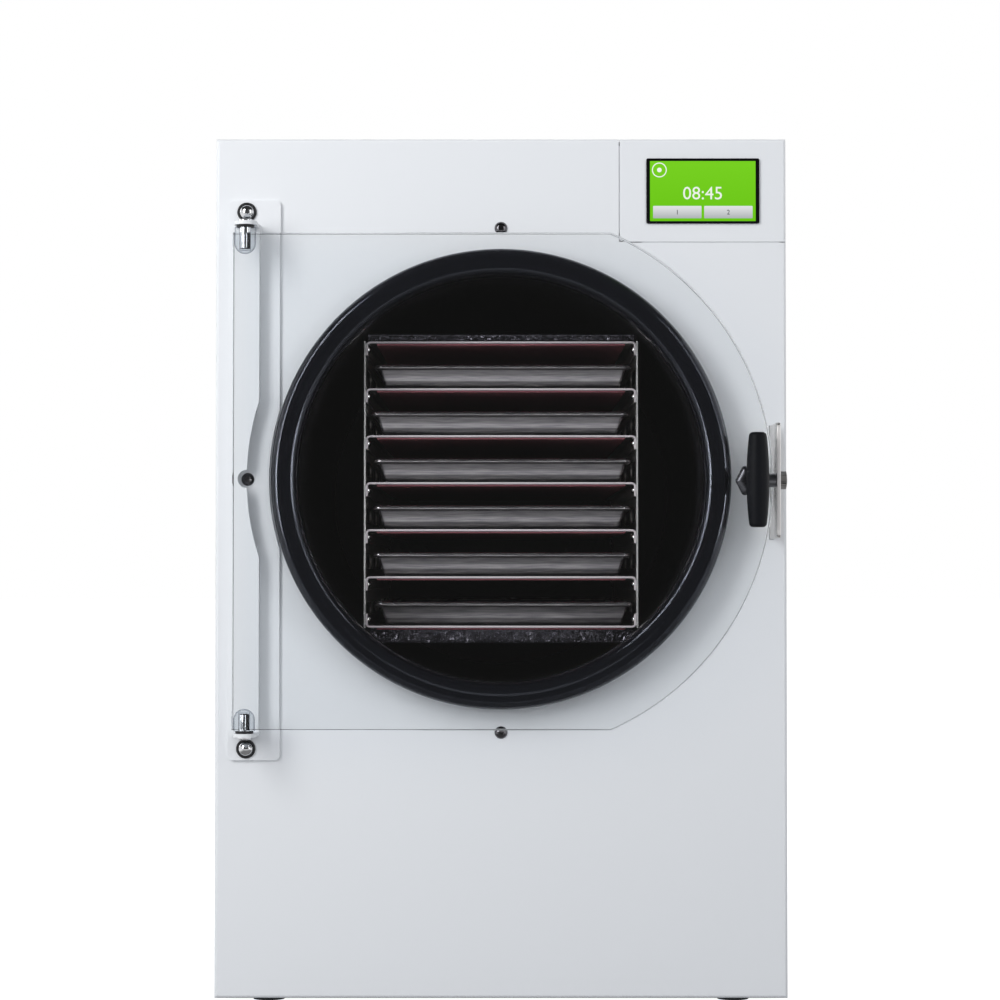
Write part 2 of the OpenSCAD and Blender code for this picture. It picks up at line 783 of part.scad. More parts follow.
// Brass flare fitting with its hexagon against the rear sheet
module vacuum_port() {
    hex_r = 13;
    hex_t = 8;
    place() color("goldenrod") difference() {
        union() {
            rod_y([port_x, rear_y - sheet_t - 0.2, port_z], 10.8, sheet_t + 0.3);
            translate([port_x, rear_y, port_z]) rotate([-90, 0, 0]) cylinder(r = hex_r, h = hex_t, $fn = 6);
            rod_y([port_x, rear_y + hex_t - 0.01, port_z], port_r, port_len);
        }
        rod_y([port_x, rear_y - 3, port_z], 4.5, 40);
    }
}

// Drain from the drum's lowest line, bent back through the rear sheet
module drain_pipe() {
    bend_r = 16;
    place() color("silver") difference() {
        union() {
            translate([0, drain_y, drain_z + bend_r])
                cylinder(r = 7.6, h = drum_z - drum_out_r + 1 - drain_z - bend_r);
            translate([0, drain_y + bend_r, drain_z + bend_r])
                rotate([0, 0, 180]) rotate([90, 0, 90]) rotate(-90)
                rotate_extrude(angle = 90) translate([bend_r, 0]) circle(7.6);
            rod_y([0, drain_y + bend_r, drain_z], 7.6, rear_y + 2 - drain_y - bend_r);
        }
        translate([0, drain_y, drain_z + bend_r - 0.01]) cylinder(r = 5.4, h = 60);
        translate([0, drain_y + bend_r, drain_z + bend_r]) rotate([0, 0, 180]) rotate([90, 0, 90]) rotate(-90)
            rotate_extrude(angle = 90) translate([bend_r, 0]) circle(5.4);
        rod_y([0, drain_y + bend_r - 0.01, drain_z], 5.4, 80);
        on_drum() cylinder(r = drum_out_r, h = drum_len);
    }
}

stem_r = 4;
stem_top = 20;
spigot_z = -valve_half - 8 - spigot_len;

// Quarter turn ball valve with a hose spigot that points down
module drain_valve() {
    place() translate([0, 0, drain_z]) color("goldenrod") difference() {
        union() {
            translate([0, rear_y, 0]) rotate([-90, 0, 0]) cylinder(r = 12.5, h = 8, $fn = 6);
            rod_y([0, rear_y + 7.9, 0], 9, 6);
            translate([0, valve_y, 0]) sphere(valve_half);
            translate([0, valve_y, 0]) cylinder(r = 6.5, h = valve_half + 2.5);
            translate([0, valve_y, 0]) cylinder(r = stem_r, h = stem_top);
            translate([0, valve_y, -valve_half - 8]) cylinder(r = 8, h = 14);
            translate([0, valve_y, spigot_z]) cylinder(r = spigot_r, h = spigot_len + 1);
        }
        rod_y([0, rear_y - cut, 0], 8, 3 + cut);
        rod_y([0, rear_y, 0], 4, valve_y - rear_y);
        translate([0, valve_y, spigot_z - cut]) cylinder(r = 3.2, h = -spigot_z + cut);
    }
}

// Lever of the drain valve, shut when it lies across the pipe
module drain_lever() {
    lever_z = drain_z + valve_half + 2.9;
    lever_w = 13;
    place() color("#b5281e") translate([0, valve_y, lever_z]) difference() {
        union() {
            cylinder(r = lever_w / 2 + 2, h = 3);
            translate([-lever_len, -lever_w / 2, 0]) cube([lever_len, lever_w, 3]);
            translate([-lever_len, 0, 0]) cylinder(r = lever_w / 2, h = 3);
        }
        translate([0, 0, -cut]) cylinder(r = stem_r + running, h = 3 + 2 * cut);
    }
}

// Appliance inlet for a removable cord
module power_inlet() {
    place() translate([inlet_x, rear_y, inlet_z]) {
        color("#161618") difference() {
            union() {
                wall(0, 2.5) translate([-25, -14]) rounded(50, 28, 3);
                wall(-20, 20.01) translate([-13.6, -10.1]) square([27.2, 20.2]);
            }
            wall(-17, 24) polygon([[-12, -8.6], [12, -8.6], [12, 4], [7.5, 8.6], [-7.5, 8.6], [-12, 4]]);
        }
        color("silver") for (p = [[-7, -1.5], [7, -1.5], [0, 3.6]])
            translate([p[0] - 1, -17.2, p[1] - 2]) cube([2, 15, 4]);
    }
}

// Outlet for the vacuum pump's plug: two blades and an earth pin
module pump_outlet() {
    w = outlet_face_w;
    h = outlet_face_h;
    place() translate([outlet_x, rear_y, outlet_z]) color("#161618") difference() {
        union() {
            wall(0, 2) translate([-w / 2 - 5, -h / 2 - 5]) rounded(w + 10, h + 10, 3);
            wall(-22, 22.01) translate([-w / 2, -h / 2]) rounded(w, h, 6);
            wall(1.99, 2) translate([-w / 2 + 1, -h / 2 + 1]) rounded(w - 2, h - 2, 6);
        }
        for (x = [-6.35, 6.35]) wall(-14, 30) translate([x - 1, 0]) square([2, 7.6]);
        rod_y([0, -14, -7], 2.6, 30);
    }
}

rocker_w = 17;
rocker_r = 10.5;
rocker_tilt = 9;
rocker_y = 2.5;

module switch_housing() {
    place() translate([switch_x, rear_y, switch_z]) color("#161618") difference() {
        union() {
            wall(0, 2) translate([-16, -14]) rounded(32, 28, 2);
            wall(-22, 22.01) translate([-13.6, -11.1 - 0.2]) square([27.2, 22.6]);
        }
        translate([-rocker_w / 2 - 0.4, -14, -rocker_r - 0.4]) cube([rocker_w + 0.8, 30, 2 * rocker_r + 0.8]);
        rod_x([-rocker_w / 2 - 2, rocker_y - 4, 0], 1.6 + running, rocker_w + 4);
    }
}

// Rocker of the mains switch, pressed down on its lower half
module switch_rocker() {
    place() translate([switch_x, rear_y + rocker_y - 4, switch_z]) color("#202226") {
        rotate([-rocker_tilt, 0, 0]) intersection() {
            rod_x([-rocker_w / 2, 0, 0], rocker_r, rocker_w);
            side(-rocker_w / 2, rocker_w)
                polygon([[-5, -12], [4.6, -12], [3.2, 0], [4.6, 12], [-5, 12]]);
        }
        rod_x([-rocker_w / 2 - 1.6, 0, 0], 1.6, rocker_w + 3.2);
    }
}

/* ---- Shelf rack and trays ---- */

rack_half = rack_w / 2;
rack_foot_z = drum_z - sqrt(pow(drum_r - seat, 2) - pow(rack_half, 2));
first_shelf = rack_foot_z;
function shelf_z(k) = first_shelf + k * shelf_pitch + (k > 0 ? low_rise : 0);
rack_top = shelf_z(tray_count) + shelf_t;
shelf_half = rack_half - rack_t;
tray_w = 2 * (shelf_half - shelf_t - tray_play);
tray_len = rack_len - tray_end;

module rack_side(x0) {
    place() color("#a8a4a2") side(x0, rack_t) difference() {
        translate([rack_y, rack_foot_z]) square([rack_len, rack_top - rack_foot_z]);
        // weight saving windows that also let vapour pass
        for (i = [0:3], k = [0:tray_count - 1])
            translate([rack_y + 70 + i * 125, shelf_z(k) + 0.37 * shelf_pitch]) slot(90, 14);
        for (k = [0:tray_count], y = rack_screw_y)
            translate([rack_y + y, screw_z(k)]) circle(2.1);
    }
}

rack_screw_y = [9, rack_len - 12];
screw_drop = 7;
function screw_z(k) = shelf_z(k) + shelf_t + (k == 0 ? 6 : -screw_drop);

module rack_side_left() { rack_side(-rack_half); }
module rack_side_right() { rack_side(rack_half - rack_t); }

// A shelf is one folded sheet: its ends turn down, on the lowest shelf they turn up
module shelf(k) {
    bend = 3;
    up = k == 0;
    turn = up ? 0 : 180;
    translate([0, 0, shelf_z(k) + shelf_t / 2]) difference() {
        translate([0, rack_y + rack_len, 0]) rotate([90, 0, 0]) linear_extrude(rack_len)
            rotate(turn) translate([0, -shelf_t / 2]) difference() {
                nose(2 * shelf_half, shelf_fold, bend);
                translate([0, shelf_t]) nose(2 * (shelf_half - shelf_t), shelf_fold, bend - shelf_t);
            }
        for (y = rack_screw_y)
            rod_x([-rack_half - cut, rack_y + y, screw_z(k) - shelf_z(k) - shelf_t / 2],
                  2.1, rack_w + 2 * cut);
    }
}

module shelves() {
    place() color("#b5b0ae") for (k = [0:tray_count]) shelf(k);
}

module heater_mats() {
    margin = 10;
    place() color("#7a3a2c") for (k = [0:tray_count])
        translate([-shelf_half + margin, rack_y + 3, shelf_z(k) - heater_t])
            cube([2 * (shelf_half - margin), rack_len - 20, heater_t]);
}

foil_t = 6;

// Crinkled foil blankets above and below the rack
module foil_sheets() {
    margin = 3.5;
    w = rack_w - 2 * margin;
    place() color("#6f7072") {
        translate([-w / 2, rack_y + 1, rack_top]) cube([w, rack_len - 6, foil_t]);
        intersection() {
            translate([-w / 2 + 1, rack_y + 1, first_shelf - heater_t - 12]) cube([w - 2, rack_len - 6, 12]);
            on_drum() cylinder(r = drum_r - seat, h = drum_len);
        }
    }
}

module rack_screws() {
    head_r = 3.4;
    place() color("silver")
        for (s = [-1, 1], k = [0:tray_count], y = rack_screw_y)
            translate([s * (shelf_half - shelf_t), rack_y + y, screw_z(k)]) rotate([0, 0, s > 0 ? -90 : 90])
                dome_screw(head_r, 2.6, 2, shelf_t + rack_t + 1);
}

// How far each tray stands from the rack's middle, lowest tray first
tray_shift = [2.4, 0.3, 0.5, 1.4, -1.1, 1.4];

// A solid of the tray's drawn form: round corners, leaning walls, rounded floor edge
module tray_form(inset, z0, z1) {
    w = tray_w - 2 * rim_w - 2 * inset;
    l = tray_len - 2 * rim_w - 2 * inset;
    r = tray_corner - rim_w - inset;
    turn = tray_turn - inset;
    lean = tray_lean * 0.7;
    hull() {
        tray_level(w, l, r, 0, z1 - 0.5);
        tray_level(w, l, r, lean, z0 + turn);
        tray_level(w, l, r, lean + turn * 0.3, z0 + turn * 0.3);
        tray_level(w, l, r - turn * 0.6, lean + turn, z0);
    }
}

// One level of that form: a thin rounded plate, drawn in on every side
module tray_level(w, l, r, draw, z) {
    translate([draw - w / 2, draw - l / 2, z]) linear_extrude(0.5)
        rounded(w - 2 * draw, l - 2 * draw, r, $fn = 32);
}

module tray(k) {
    floor_z = shelf_z(k - 1) + shelf_t;
    rim_t = 3;
    mid_y = rack_y + tray_end + tray_len / 2;
    place() color("#9a9896") translate([tray_shift[k - 1], mid_y, floor_z]) difference() {
        union() {
            tray_form(0, 0, tray_h - rim_t + 0.5);
            translate([-tray_w / 2, -tray_len / 2, tray_h - rim_t])
                linear_extrude(rim_t) rounded(tray_w, tray_len, tray_corner);
        }
        tray_form(tray_t, tray_t, tray_h + 0.5);
        translate([-tray_w / 2 + rim_w + tray_t, -tray_len / 2 + rim_w + tray_t, tray_h - rim_t])
            linear_extrude(rim_t + 1)
                rounded(tray_w - 2 * rim_w - 2 * tray_t, tray_len - 2 * rim_w - 2 * tray_t,
                        tray_corner - rim_w - tray_t);
    }
}

module tray_1() { tray(1); }
module tray_2() { tray(2); }
module tray_3() { tray(3); }
module tray_4() { tray(4); }
module tray_5() { tray(5); }
module tray_6() { tray(6); }

/* ---- Door and hinge ---- */

pin_y = door_back - door_t / 2;
bracket_t = 3;
bracket_left = -hinge_x - 18.5;
bracket_w = 47;
bracket_low = hinge_screw_z[1] - 10.5;
bracket_high = hinge_screw_z[0] + 10.5;
rail_left = -hinge_x - 13.5;
rail_w = 24.5;
rail_y = -15;
ear_t = 3.4;
ear_w = 20;
ear_top_z = door_z + door_h / 2 + 7.6;
ear_low_z = door_z - door_h / 2 - 3.4;
bush_r = 9.5;
bush_grip = 18.5;
pin_deep = 14.5;

// One folded bracket: back plate, raised rail and two ears for the pins
module hinge_bracket() {
    rail_low = ear_low_z - ear_t;
    rail_high = ear_top_z + ear_t;
    place() color("whitesmoke") difference() {
        union() {
            wall(-bracket_t, bracket_t) translate([bracket_left, bracket_low])
                rounded(bracket_w, bracket_high - bracket_low, 5);
            difference() {
                translate([rail_left, rail_y, rail_low]) cube([rail_w, -rail_y - 0.5, rail_high - rail_low]);
                translate([rail_left + bracket_t, rail_y + bracket_t, rail_low - cut])
                    cube([rail_w - 2 * bracket_t, -rail_y, rail_high - rail_low + 2 * cut]);
                // the rail is scooped to follow the seal
                on_drum() translate([0, 0, -40]) cylinder(r = ring_screw_r, h = 40 - bracket_t);
            }
            for (z = [rail_low, rail_high - ear_t]) {
                translate([-hinge_x - ear_w / 2, pin_y, z]) cube([ear_w, rail_y + bracket_t - pin_y, ear_t]);
                translate([-hinge_x, pin_y, z]) cylinder(r = ear_w / 2, h = ear_t);
            }
        }
        on_drum() translate([0, 0, -50]) cylinder(r = seal_r + 2.6, h = 60);
        // room for the ring screw that holds the plate's middle
        rod_y([-ring_screw_r, rail_y - cut, drum_z], 8, -rail_y + cut - bracket_t);
        rod_y([-ring_screw_r, rail_y - cut, drum_z], ring_screw_hole, 30);
        for (z = [rail_low, rail_high - ear_t])
            translate([-hinge_x, pin_y, z - cut]) cylinder(r = pin_r + running, h = ear_t + 2 * cut);
        for (z = hinge_screw_z)
            rod_y([hinge_screw_x, -bracket_t - cut, z], hinge_screw_shank + 0.2, bracket_t + 2 * cut);
    }
}

module hinge_nut_plates() {
    place() color("dimgray") difference() {
        wall(sheet_t, 4) for (z = hinge_screw_z)
            translate([hinge_screw_x - 16, z - 14]) square([32, 28]);
        for (z = hinge_screw_z) rod_y([hinge_screw_x, 0, z], hinge_screw_shank + 0.05, 10);
    }
}

module hinge_screws() {
    place() color("silver") for (z = hinge_screw_z)
        translate([hinge_screw_x, -bracket_t, z]) dome_screw(8.7, 5.6, hinge_screw_shank, 12);
}

// Headed pins, dropped through the ears into the door's bushings
module hinge_pins() {
    head = 2;
    place() color("silver") {
        translate([-hinge_x, pin_y, door_z + door_h / 2 - pin_deep])
            cylinder(r = pin_r, h = ear_top_z + ear_t - door_z - door_h / 2 + pin_deep + 0.01);
        translate([-hinge_x, pin_y, ear_top_z + ear_t]) cylinder(r = 6.2, h = head);
        translate([-hinge_x, pin_y, ear_low_z - ear_t - 0.01])
            cylinder(r = pin_r, h = door_z - door_h / 2 + pin_deep - ear_low_z + ear_t + 0.01);
        translate([-hinge_x, pin_y, ear_low_z - ear_t - head]) cylinder(r = 6.2, h = head);
    }
}

bush_top_z = ear_top_z - 2;
bush_low_z = ear_low_z + 2.2;

module hinge_washers() {
    gap = 0.1;
    place() color("#1a1a1a") difference() {
        union() {
            translate([-hinge_x, pin_y, bush_top_z + gap])
                cylinder(r = 8, h = ear_top_z - bush_top_z - 2 * gap);
            translate([-hinge_x, pin_y, ear_low_z + gap])
                cylinder(r = 8, h = bush_low_z - ear_low_z - 2 * gap);
        }
        translate([-hinge_x, pin_y, 0]) cylinder(r = pin_r + 0.1, h = cabinet_h);
    }
}

// A blind pocket with a ball end, open towards one side of the door
module bush_pocket(r) {
    for (s = [-1, 1]) translate([-hinge_x, pin_y, door_z + s * (door_h / 2 - bush_grip + bush_r)]) {
        sphere(r);
        rotate([90 - s * 90, 0, 0]) cylinder(r = r, h = bush_grip);
    }
}

module door_plate() {
    place() color("lightblue", 0.35) difference() {
        wall(door_front, door_t) intersection() {
            union() {
                translate([0, door_z]) circle(door_r);
                translate([-hinge_x - hinge_edge, door_z - door_h / 2])
                    square([hinge_x + hinge_edge, door_h]);
            }
            translate([-hinge_x - hinge_edge, door_z - door_h / 2])
                square([hinge_x + hinge_edge + door_r + 1, door_h]);
        }
        bush_pocket(bush_r + 0.05);
        rod_y([latch_x, door_front - cut, door_z], spindle_r + running, door_t + 2 * cut);
    }
}

// Clear plastic bushings for the hinge pins
module door_bushings() {
    place() color("azure", 0.5) difference() {
        intersection() {
            bush_pocket(bush_r);
            translate([-hinge_x - 20, pin_y - 20, bush_low_z]) cube([40, 40, bush_top_z - bush_low_z]);
        }
        for (s = [-1, 1]) translate([-hinge_x, pin_y, door_z + s * (door_h / 2 - pin_deep - 1)])
            rotate([90 - s * 90, 0, 0]) cylinder(r = pin_r + running, h = 40);
    }
}

/* ---- Latch ---- */

// Shoulder bolt through the door: washer head behind, thread into the handle
module latch_spindle() {
    head_t = 5;
    place() color("silver") {
        rod_y([latch_x, handle_y + 4, door_z], spindle_r, door_back - handle_y - 4 + 0.3);
        rod_y([latch_x, door_back + 0.3, door_z], 9, 2);
        translate([latch_x, door_back + 2.29, door_z]) rotate([-90, 0, 0])
            cylinder(r = 7.5, h = head_t, $fn = 6);
    }
}

// Cam with a blunt nose: turned half round, the nose slips behind the strike pin
module latch_cam() {
    nose_r = 2.4;
    hub_r = 7.4;
    place() color("#2a2b2e") translate([latch_x, cam_front, door_z]) difference() {
        wall(0, cam_t) {
            circle(hub_r);
            difference() {
                hull() {
                    translate([-cam_reach + nose_r, 0]) circle(nose_r, $fn = 32);
                    for (s = [-1, 1])
                        translate([-cam_shoulder, s * (cam_half - 3)]) circle(3, $fn = 32);
                    for (s = [-1, 1]) translate([0, s * 4]) circle(2.5, $fn = 32);
                }
                translate([2.5, -20]) square([20, 40]);
            }
        }
        rod_y([0, -cut, 0], spindle_r + 0.02, cam_t + 2 * cut);
    }
}

// Moulded bar handle: a barrel with a short neck down to the cam
module latch_handle() {
    neck_r = 7.5;
    flank = (pow(handle_len / 2, 2) + pow(handle_r - handle_end_r, 2)) / (2 * (handle_r - handle_end_r));
    place() color("#1c1c1f") difference() {
        union() {
            translate([latch_x, handle_y, door_z]) rotate_extrude() intersection() {
                translate([handle_r - flank, 0]) circle(flank, $fn = 360);
                union() {
                    translate([0, handle_round - handle_len / 2])
                        square([handle_r + 1, handle_len - 2 * handle_round]);
                    translate([0, -handle_len / 2]) square([handle_end_r - handle_round, handle_len]);
                    for (s = [-1, 1])
                        translate([handle_end_r - handle_round + 0.4, s * (handle_len / 2 - handle_round)])
                            circle(handle_round, $fn = 48);
                }
            }
            rod_y([latch_x, handle_y, door_z], neck_r, cam_front - handle_y);
        }
        rod_y([latch_x, handle_y + 4 - 0.3, door_z], spindle_r + 0.02, 40);
    }
}

// Stainless plate that stands out past the door's edge, welded to the drum's ring
module catch_plate() {
    corner = 7;
    place() color("silver") difference() {
        side(catch_x, catch_t) {
            translate([catch_front, door_z - catch_h / 2]) rounded(20, catch_h, corner);
            translate([catch_front + corner, door_z - catch_h / 2])
                square([sheet_t - catch_front - corner, catch_h]);
        }
        rod_x([catch_x - cut, strike_y, door_z], strike_shank + 0.1, catch_t + 2 * cut);
    }
}

strike_shank = 4;
strike_len = catch_x - latch_x - 8.4;

module strike_pin() {
    place() color("silver") {
        rod_x([catch_x - strike_len, strike_y, door_z], strike_r, strike_len);
        rod_x([catch_x - 0.01, strike_y, door_z], strike_shank, catch_t + 6);
    }
}

module strike_nut() {
    place() color("dimgray") difference() {
        translate([catch_x + catch_t, strike_y, door_z]) rotate([0, 90, 0]) cylinder(r = 8, h = 5.4, $fn = 6);
        rod_x([catch_x, strike_y, door_z], strike_shank + 0.05, 20);
    }
}

base_pan();
feet();
front_panel();
wrap_cover();
rear_panel();
cover_screws();
control_fascia();
screen_bezel();
display_module();
control_board();
drum_shell();
drum_end();
drum_ring();
door_seal();
ring_screws();
chilling_coil();
foam_jacket();
drum_saddles();
compressor();
compressor_grommets();
condenser();
fan_shroud();
fan_motor();
fan_rotor();
filter_drier();
copper_lines();
vacuum_port();
vacuum_pipe();
drain_pipe();
drain_valve();
drain_lever();
power_inlet();
pump_outlet();
switch_housing();
switch_rocker();
rack_side_left();
rack_side_right();
shelves();
heater_mats();
foil_sheets();
rack_screws();
tray_1();
tray_2();
tray_3();
tray_4();
tray_5();
tray_6();
hinge_bracket();
hinge_nut_plates();
hinge_screws();
hinge_pins();
hinge_washers();
door_plate();
door_bushings();
latch_spindle();
latch_cam();
latch_handle();
catch_plate();
strike_pin();
strike_nut();
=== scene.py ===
"""A cabinet freeze dryer, finished round its packed construction model.

The file follows the machine as it is put together: cabinet, controls, vacuum drum, refrigeration,
rear fittings, shelf rack and trays, door and hinge, latch. Sizes are in metres.
"""
import math

import bmesh
import bpy
from mathutils import Matrix, Vector, noise


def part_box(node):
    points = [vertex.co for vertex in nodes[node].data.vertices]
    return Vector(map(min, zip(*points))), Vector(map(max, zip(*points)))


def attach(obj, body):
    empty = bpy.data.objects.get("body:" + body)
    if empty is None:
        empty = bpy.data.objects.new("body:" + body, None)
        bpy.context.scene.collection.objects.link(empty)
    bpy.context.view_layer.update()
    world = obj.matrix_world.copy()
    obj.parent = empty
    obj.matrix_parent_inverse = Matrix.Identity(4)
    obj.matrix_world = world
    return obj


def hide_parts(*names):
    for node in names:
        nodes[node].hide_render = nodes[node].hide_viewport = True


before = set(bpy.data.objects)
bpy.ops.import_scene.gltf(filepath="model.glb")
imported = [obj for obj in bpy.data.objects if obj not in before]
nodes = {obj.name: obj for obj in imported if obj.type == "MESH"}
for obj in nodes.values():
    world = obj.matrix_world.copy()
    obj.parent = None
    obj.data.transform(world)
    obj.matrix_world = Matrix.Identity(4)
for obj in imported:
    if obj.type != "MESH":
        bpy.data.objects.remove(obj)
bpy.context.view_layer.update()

# ---- Studio ----
# The machine stands on a pale floor and is seen square on, from low down and from 2.5 m. Tall soft
# boxes light it from the front left and right, with more for its sides and back, in a bright room.

scene = bpy.context.scene
scene.view_settings.view_transform = "Standard"
sheet_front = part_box("front_panel")[0].y

camera_x, camera_z, camera_away, camera_tilt = -0.0009, 0.3893, 2.5, 91.5
camera = bpy.data.objects.new("camera", bpy.data.cameras.new("camera"))
camera.location = (camera_x, sheet_front - camera_away, camera_z)
camera.rotation_euler = (math.radians(camera_tilt), 0, 0)
camera.data.lens = 100
camera.data.sensor_width = 36
scene.collection.objects.link(camera)
scene.camera = camera
front_middle = Vector((0, sheet_front, 0.45))


def soft_box(name, place, width, height, power):
    """An oblong lamp at place that faces the middle of the machine's front, its power in watts."""
    lamp = bpy.data.lights.new(name, "AREA")
    lamp.shape = "RECTANGLE"
    lamp.size = width
    lamp.size_y = height
    lamp.energy = power
    made = bpy.data.objects.new(name, lamp)
    made.location = place
    made.rotation_euler = (front_middle - Vector(place)).to_track_quat("-Z", "Y").to_euler()
    scene.collection.objects.link(made)


soft_box("left_box", (-1.25, -1.6, 1.15), 0.55, 1.5, 18.5)
soft_box("right_box", (1.65, -2.0, 1.2), 0.45, 1.7, 7.5)
soft_box("side_box_left", (-2.4, 0.7, 1.6), 1.6, 1.6, 14)
soft_box("side_box_right", (2.4, 0.7, 1.6), 1.6, 1.6, 14)
soft_box("rear_box", (0.3, 2.9, 1.8), 2.0, 1.5, 22)


def tone(code):
    """An sRGB hex colour as the linear colour that shaders take."""
    parts = [int(code[i:i + 2], 16) / 255 for i in (0, 2, 4)]
    return [c / 12.92 if c <= 0.04045 else ((c + 0.055) / 1.055) ** 2.4 for c in parts] + [1]


def add(tree, kind, inputs=None, **settings):
    """Adds one shader node. Settings are its properties, and each input is a value or a socket to link."""
    made = tree.nodes.new(kind)
    for name, value in settings.items():
        setattr(made, name, value)
    for name, value in (inputs or {}).items():
        if isinstance(value, bpy.types.NodeSocket):
            tree.links.new(value, made.inputs[name])
        else:
            made.inputs[name].default_value = value
    return made


# Polished pieces see the room white round the machine, and dim straight in front and overhead.
# Its fill light is stronger from the front, and weaker from the sides and behind
world = bpy.data.worlds.new("studio")
scene.world = world
world.use_nodes = True
tree = world.node_tree
tree.nodes.clear()
ray = add(tree, "ShaderNodeLightPath")
heading = add(tree, "ShaderNodeTexCoord")
axes = add(tree, "ShaderNodeSeparateXYZ", {0: heading.outputs["Generated"]})
behind = add(tree, "ShaderNodeMapRange", {"Value": axes.outputs["Y"], "From Min": -0.9, "From Max": -0.55,
                                          "To Min": 0.07, "To Max": 0.85})
front = add(tree, "ShaderNodeVectorMath", {0: heading.outputs["Generated"], 1: (-0.2, -0.95, 0.25)},
            operation="DOT_PRODUCT")
broad = add(tree, "ShaderNodeMapRange", {"Value": front.outputs["Value"], "From Min": 0.3, "From Max": 0.95,
                                         "To Min": 0.23, "To Max": 0.95})
fill = add(tree, "ShaderNodeBackground", {"Color": tone("f6f8fd"), "Strength": broad.outputs[0]})
overhead = add(tree, "ShaderNodeMapRange", {"Value": axes.outputs["Z"], "From Min": 0.3, "From Max": 0.6,
                                            "To Min": 1.0, "To Max": 0.05})
shown = add(tree, "ShaderNodeMath", {0: behind.outputs[0], 1: overhead.outputs[0]}, operation="MULTIPLY")
# Two tall bright cards stand to the front left and right. Only polished surfaces behind the clear
# door show them, so that they lay no veil over the door itself
card_strength = 8.0
aside = add(tree, "ShaderNodeMath", {0: axes.outputs["X"]}, operation="ABSOLUTE")
card = add(tree, "ShaderNodeMapRange", {"Value": aside.outputs[0], "From Min": 0.45, "From Max": 0.52,
                                        "To Min": 0.0, "To Max": card_strength})
beyond = add(tree, "ShaderNodeMapRange", {"Value": aside.outputs[0], "From Min": 0.78, "From Max": 0.85,
                                          "To Min": 1.0, "To Max": 0.0})
nearer = add(tree, "ShaderNodeMath", {0: axes.outputs["Y"], 1: -0.2}, operation="LESS_THAN")
lower = add(tree, "ShaderNodeMapRange", {"Value": axes.outputs["Z"], "From Min": 0.04, "From Max": 0.2,
                                         "To Min": 1.0, "To Max": 0.0})
inside = add(tree, "ShaderNodeMath", {0: ray.outputs["Transmission Depth"], 1: 2.5}, operation="GREATER_THAN")
for limit in (beyond, nearer, lower, inside):
    card = add(tree, "ShaderNodeMath", {0: card.outputs[0], 1: limit.outputs[0]}, operation="MULTIPLY")
shown = add(tree, "ShaderNodeMath", {0: shown.outputs[0], 1: card.outputs[0]}, operation="ADD")
mirrored = add(tree, "ShaderNodeBackground", {"Color": (1, 1, 1, 1), "Strength": shown.outputs[0]})
white = add(tree, "ShaderNodeBackground", {"Color": (1, 1, 1, 1), "Strength": 1.0})
bounces = add(tree, "ShaderNodeMath", {0: ray.outputs["Glossy Depth"], 1: ray.outputs["Diffuse Depth"]},
              operation="ADD")
straight = add(tree, "ShaderNodeMath", {0: bounces.outputs[0], 1: 0.5}, operation="LESS_THAN")
clear = add(tree, "ShaderNodeMath", {0: ray.outputs["Is Transmission Ray"], 1: straight.outputs[0]},
            operation="MULTIPLY")
seen = add(tree, "ShaderNodeMath", {0: ray.outputs["Is Camera Ray"], 1: clear.outputs[0]},
           operation="MAXIMUM")
shiny = add(tree, "ShaderNodeMath", {0: ray.outputs["Is Glossy Ray"], 1: ray.outputs["Is Transmission Ray"]},
            operation="MAXIMUM")
lit = add(tree, "ShaderNodeMixShader", {0: shiny.outputs[0], 1: fill.outputs[0], 2: mirrored.outputs[0]})
room = add(tree, "ShaderNodeMixShader", {0: seen.outputs[0], 1: lit.outputs[0], 2: white.outputs[0]})
add(tree, "ShaderNodeOutputWorld", {"Surface": room.outputs[0]})

# Pale painted floor: it shows white, and darker only where the machine keeps the light off. Glossy
# pieces see it pale at the sides and far in front, and dim at the machine's foot: that dimming is painted
# shade
floor_glow = 0.95
floor_paint = bpy.data.materials.new("pale_floor_paint")
floor_paint.use_nodes = True
tree = floor_paint.node_tree
tree.nodes.clear()
ray = add(tree, "ShaderNodeLightPath")
seen = add(tree, "ShaderNodeMath", {0: ray.outputs["Is Camera Ray"], 1: ray.outputs["Is Transmission Ray"]},
           operation="MAXIMUM")
seen = add(tree, "ShaderNodeMath", {0: seen.outputs[0], 1: floor_glow}, operation="MULTIPLY")
place = add(tree, "ShaderNodeTexCoord")
axes = add(tree, "ShaderNodeSeparateXYZ", {0: place.outputs["Object"]})
aside = add(tree, "ShaderNodeMath", {0: axes.outputs["X"]}, operation="ABSOLUTE")
sides = add(tree, "ShaderNodeMapRange", {"Value": aside.outputs[0], "From Min": 0.35, "From Max": 0.9,
                                         "To Min": 0.0, "To Max": floor_glow})
# Painted shade: for glossy rays the floor dims towards the machine's foot
painted_foot_shade = add(tree, "ShaderNodeMapRange", {"Value": axes.outputs["Y"], "From Min": -1.35, "From Max": -0.65,
                                         "To Min": 0.8, "To Max": 0.22})
paler = add(tree, "ShaderNodeMath", {0: sides.outputs[0], 1: painted_foot_shade.outputs[0]}, operation="MAXIMUM")
matt = add(tree, "ShaderNodeBsdfDiffuse", {"Color": tone("a3a5a8")})
light = add(tree, "ShaderNodeEmission", {"Color": (1, 1, 1, 1), "Strength": seen.outputs[0]})
lit = add(tree, "ShaderNodeAddShader", {0: matt.outputs[0], 1: light.outputs[0]})
mirrored = add(tree, "ShaderNodeEmission", {"Color": (1, 1, 1, 1), "Strength": paler.outputs[0]})
both = add(tree, "ShaderNodeMixShader", {0: ray.outputs["Is Glossy Ray"], 1: lit.outputs[0],
                                         2: mirrored.outputs[0]})
add(tree, "ShaderNodeOutputMaterial", {"Surface": both.outputs[0]})

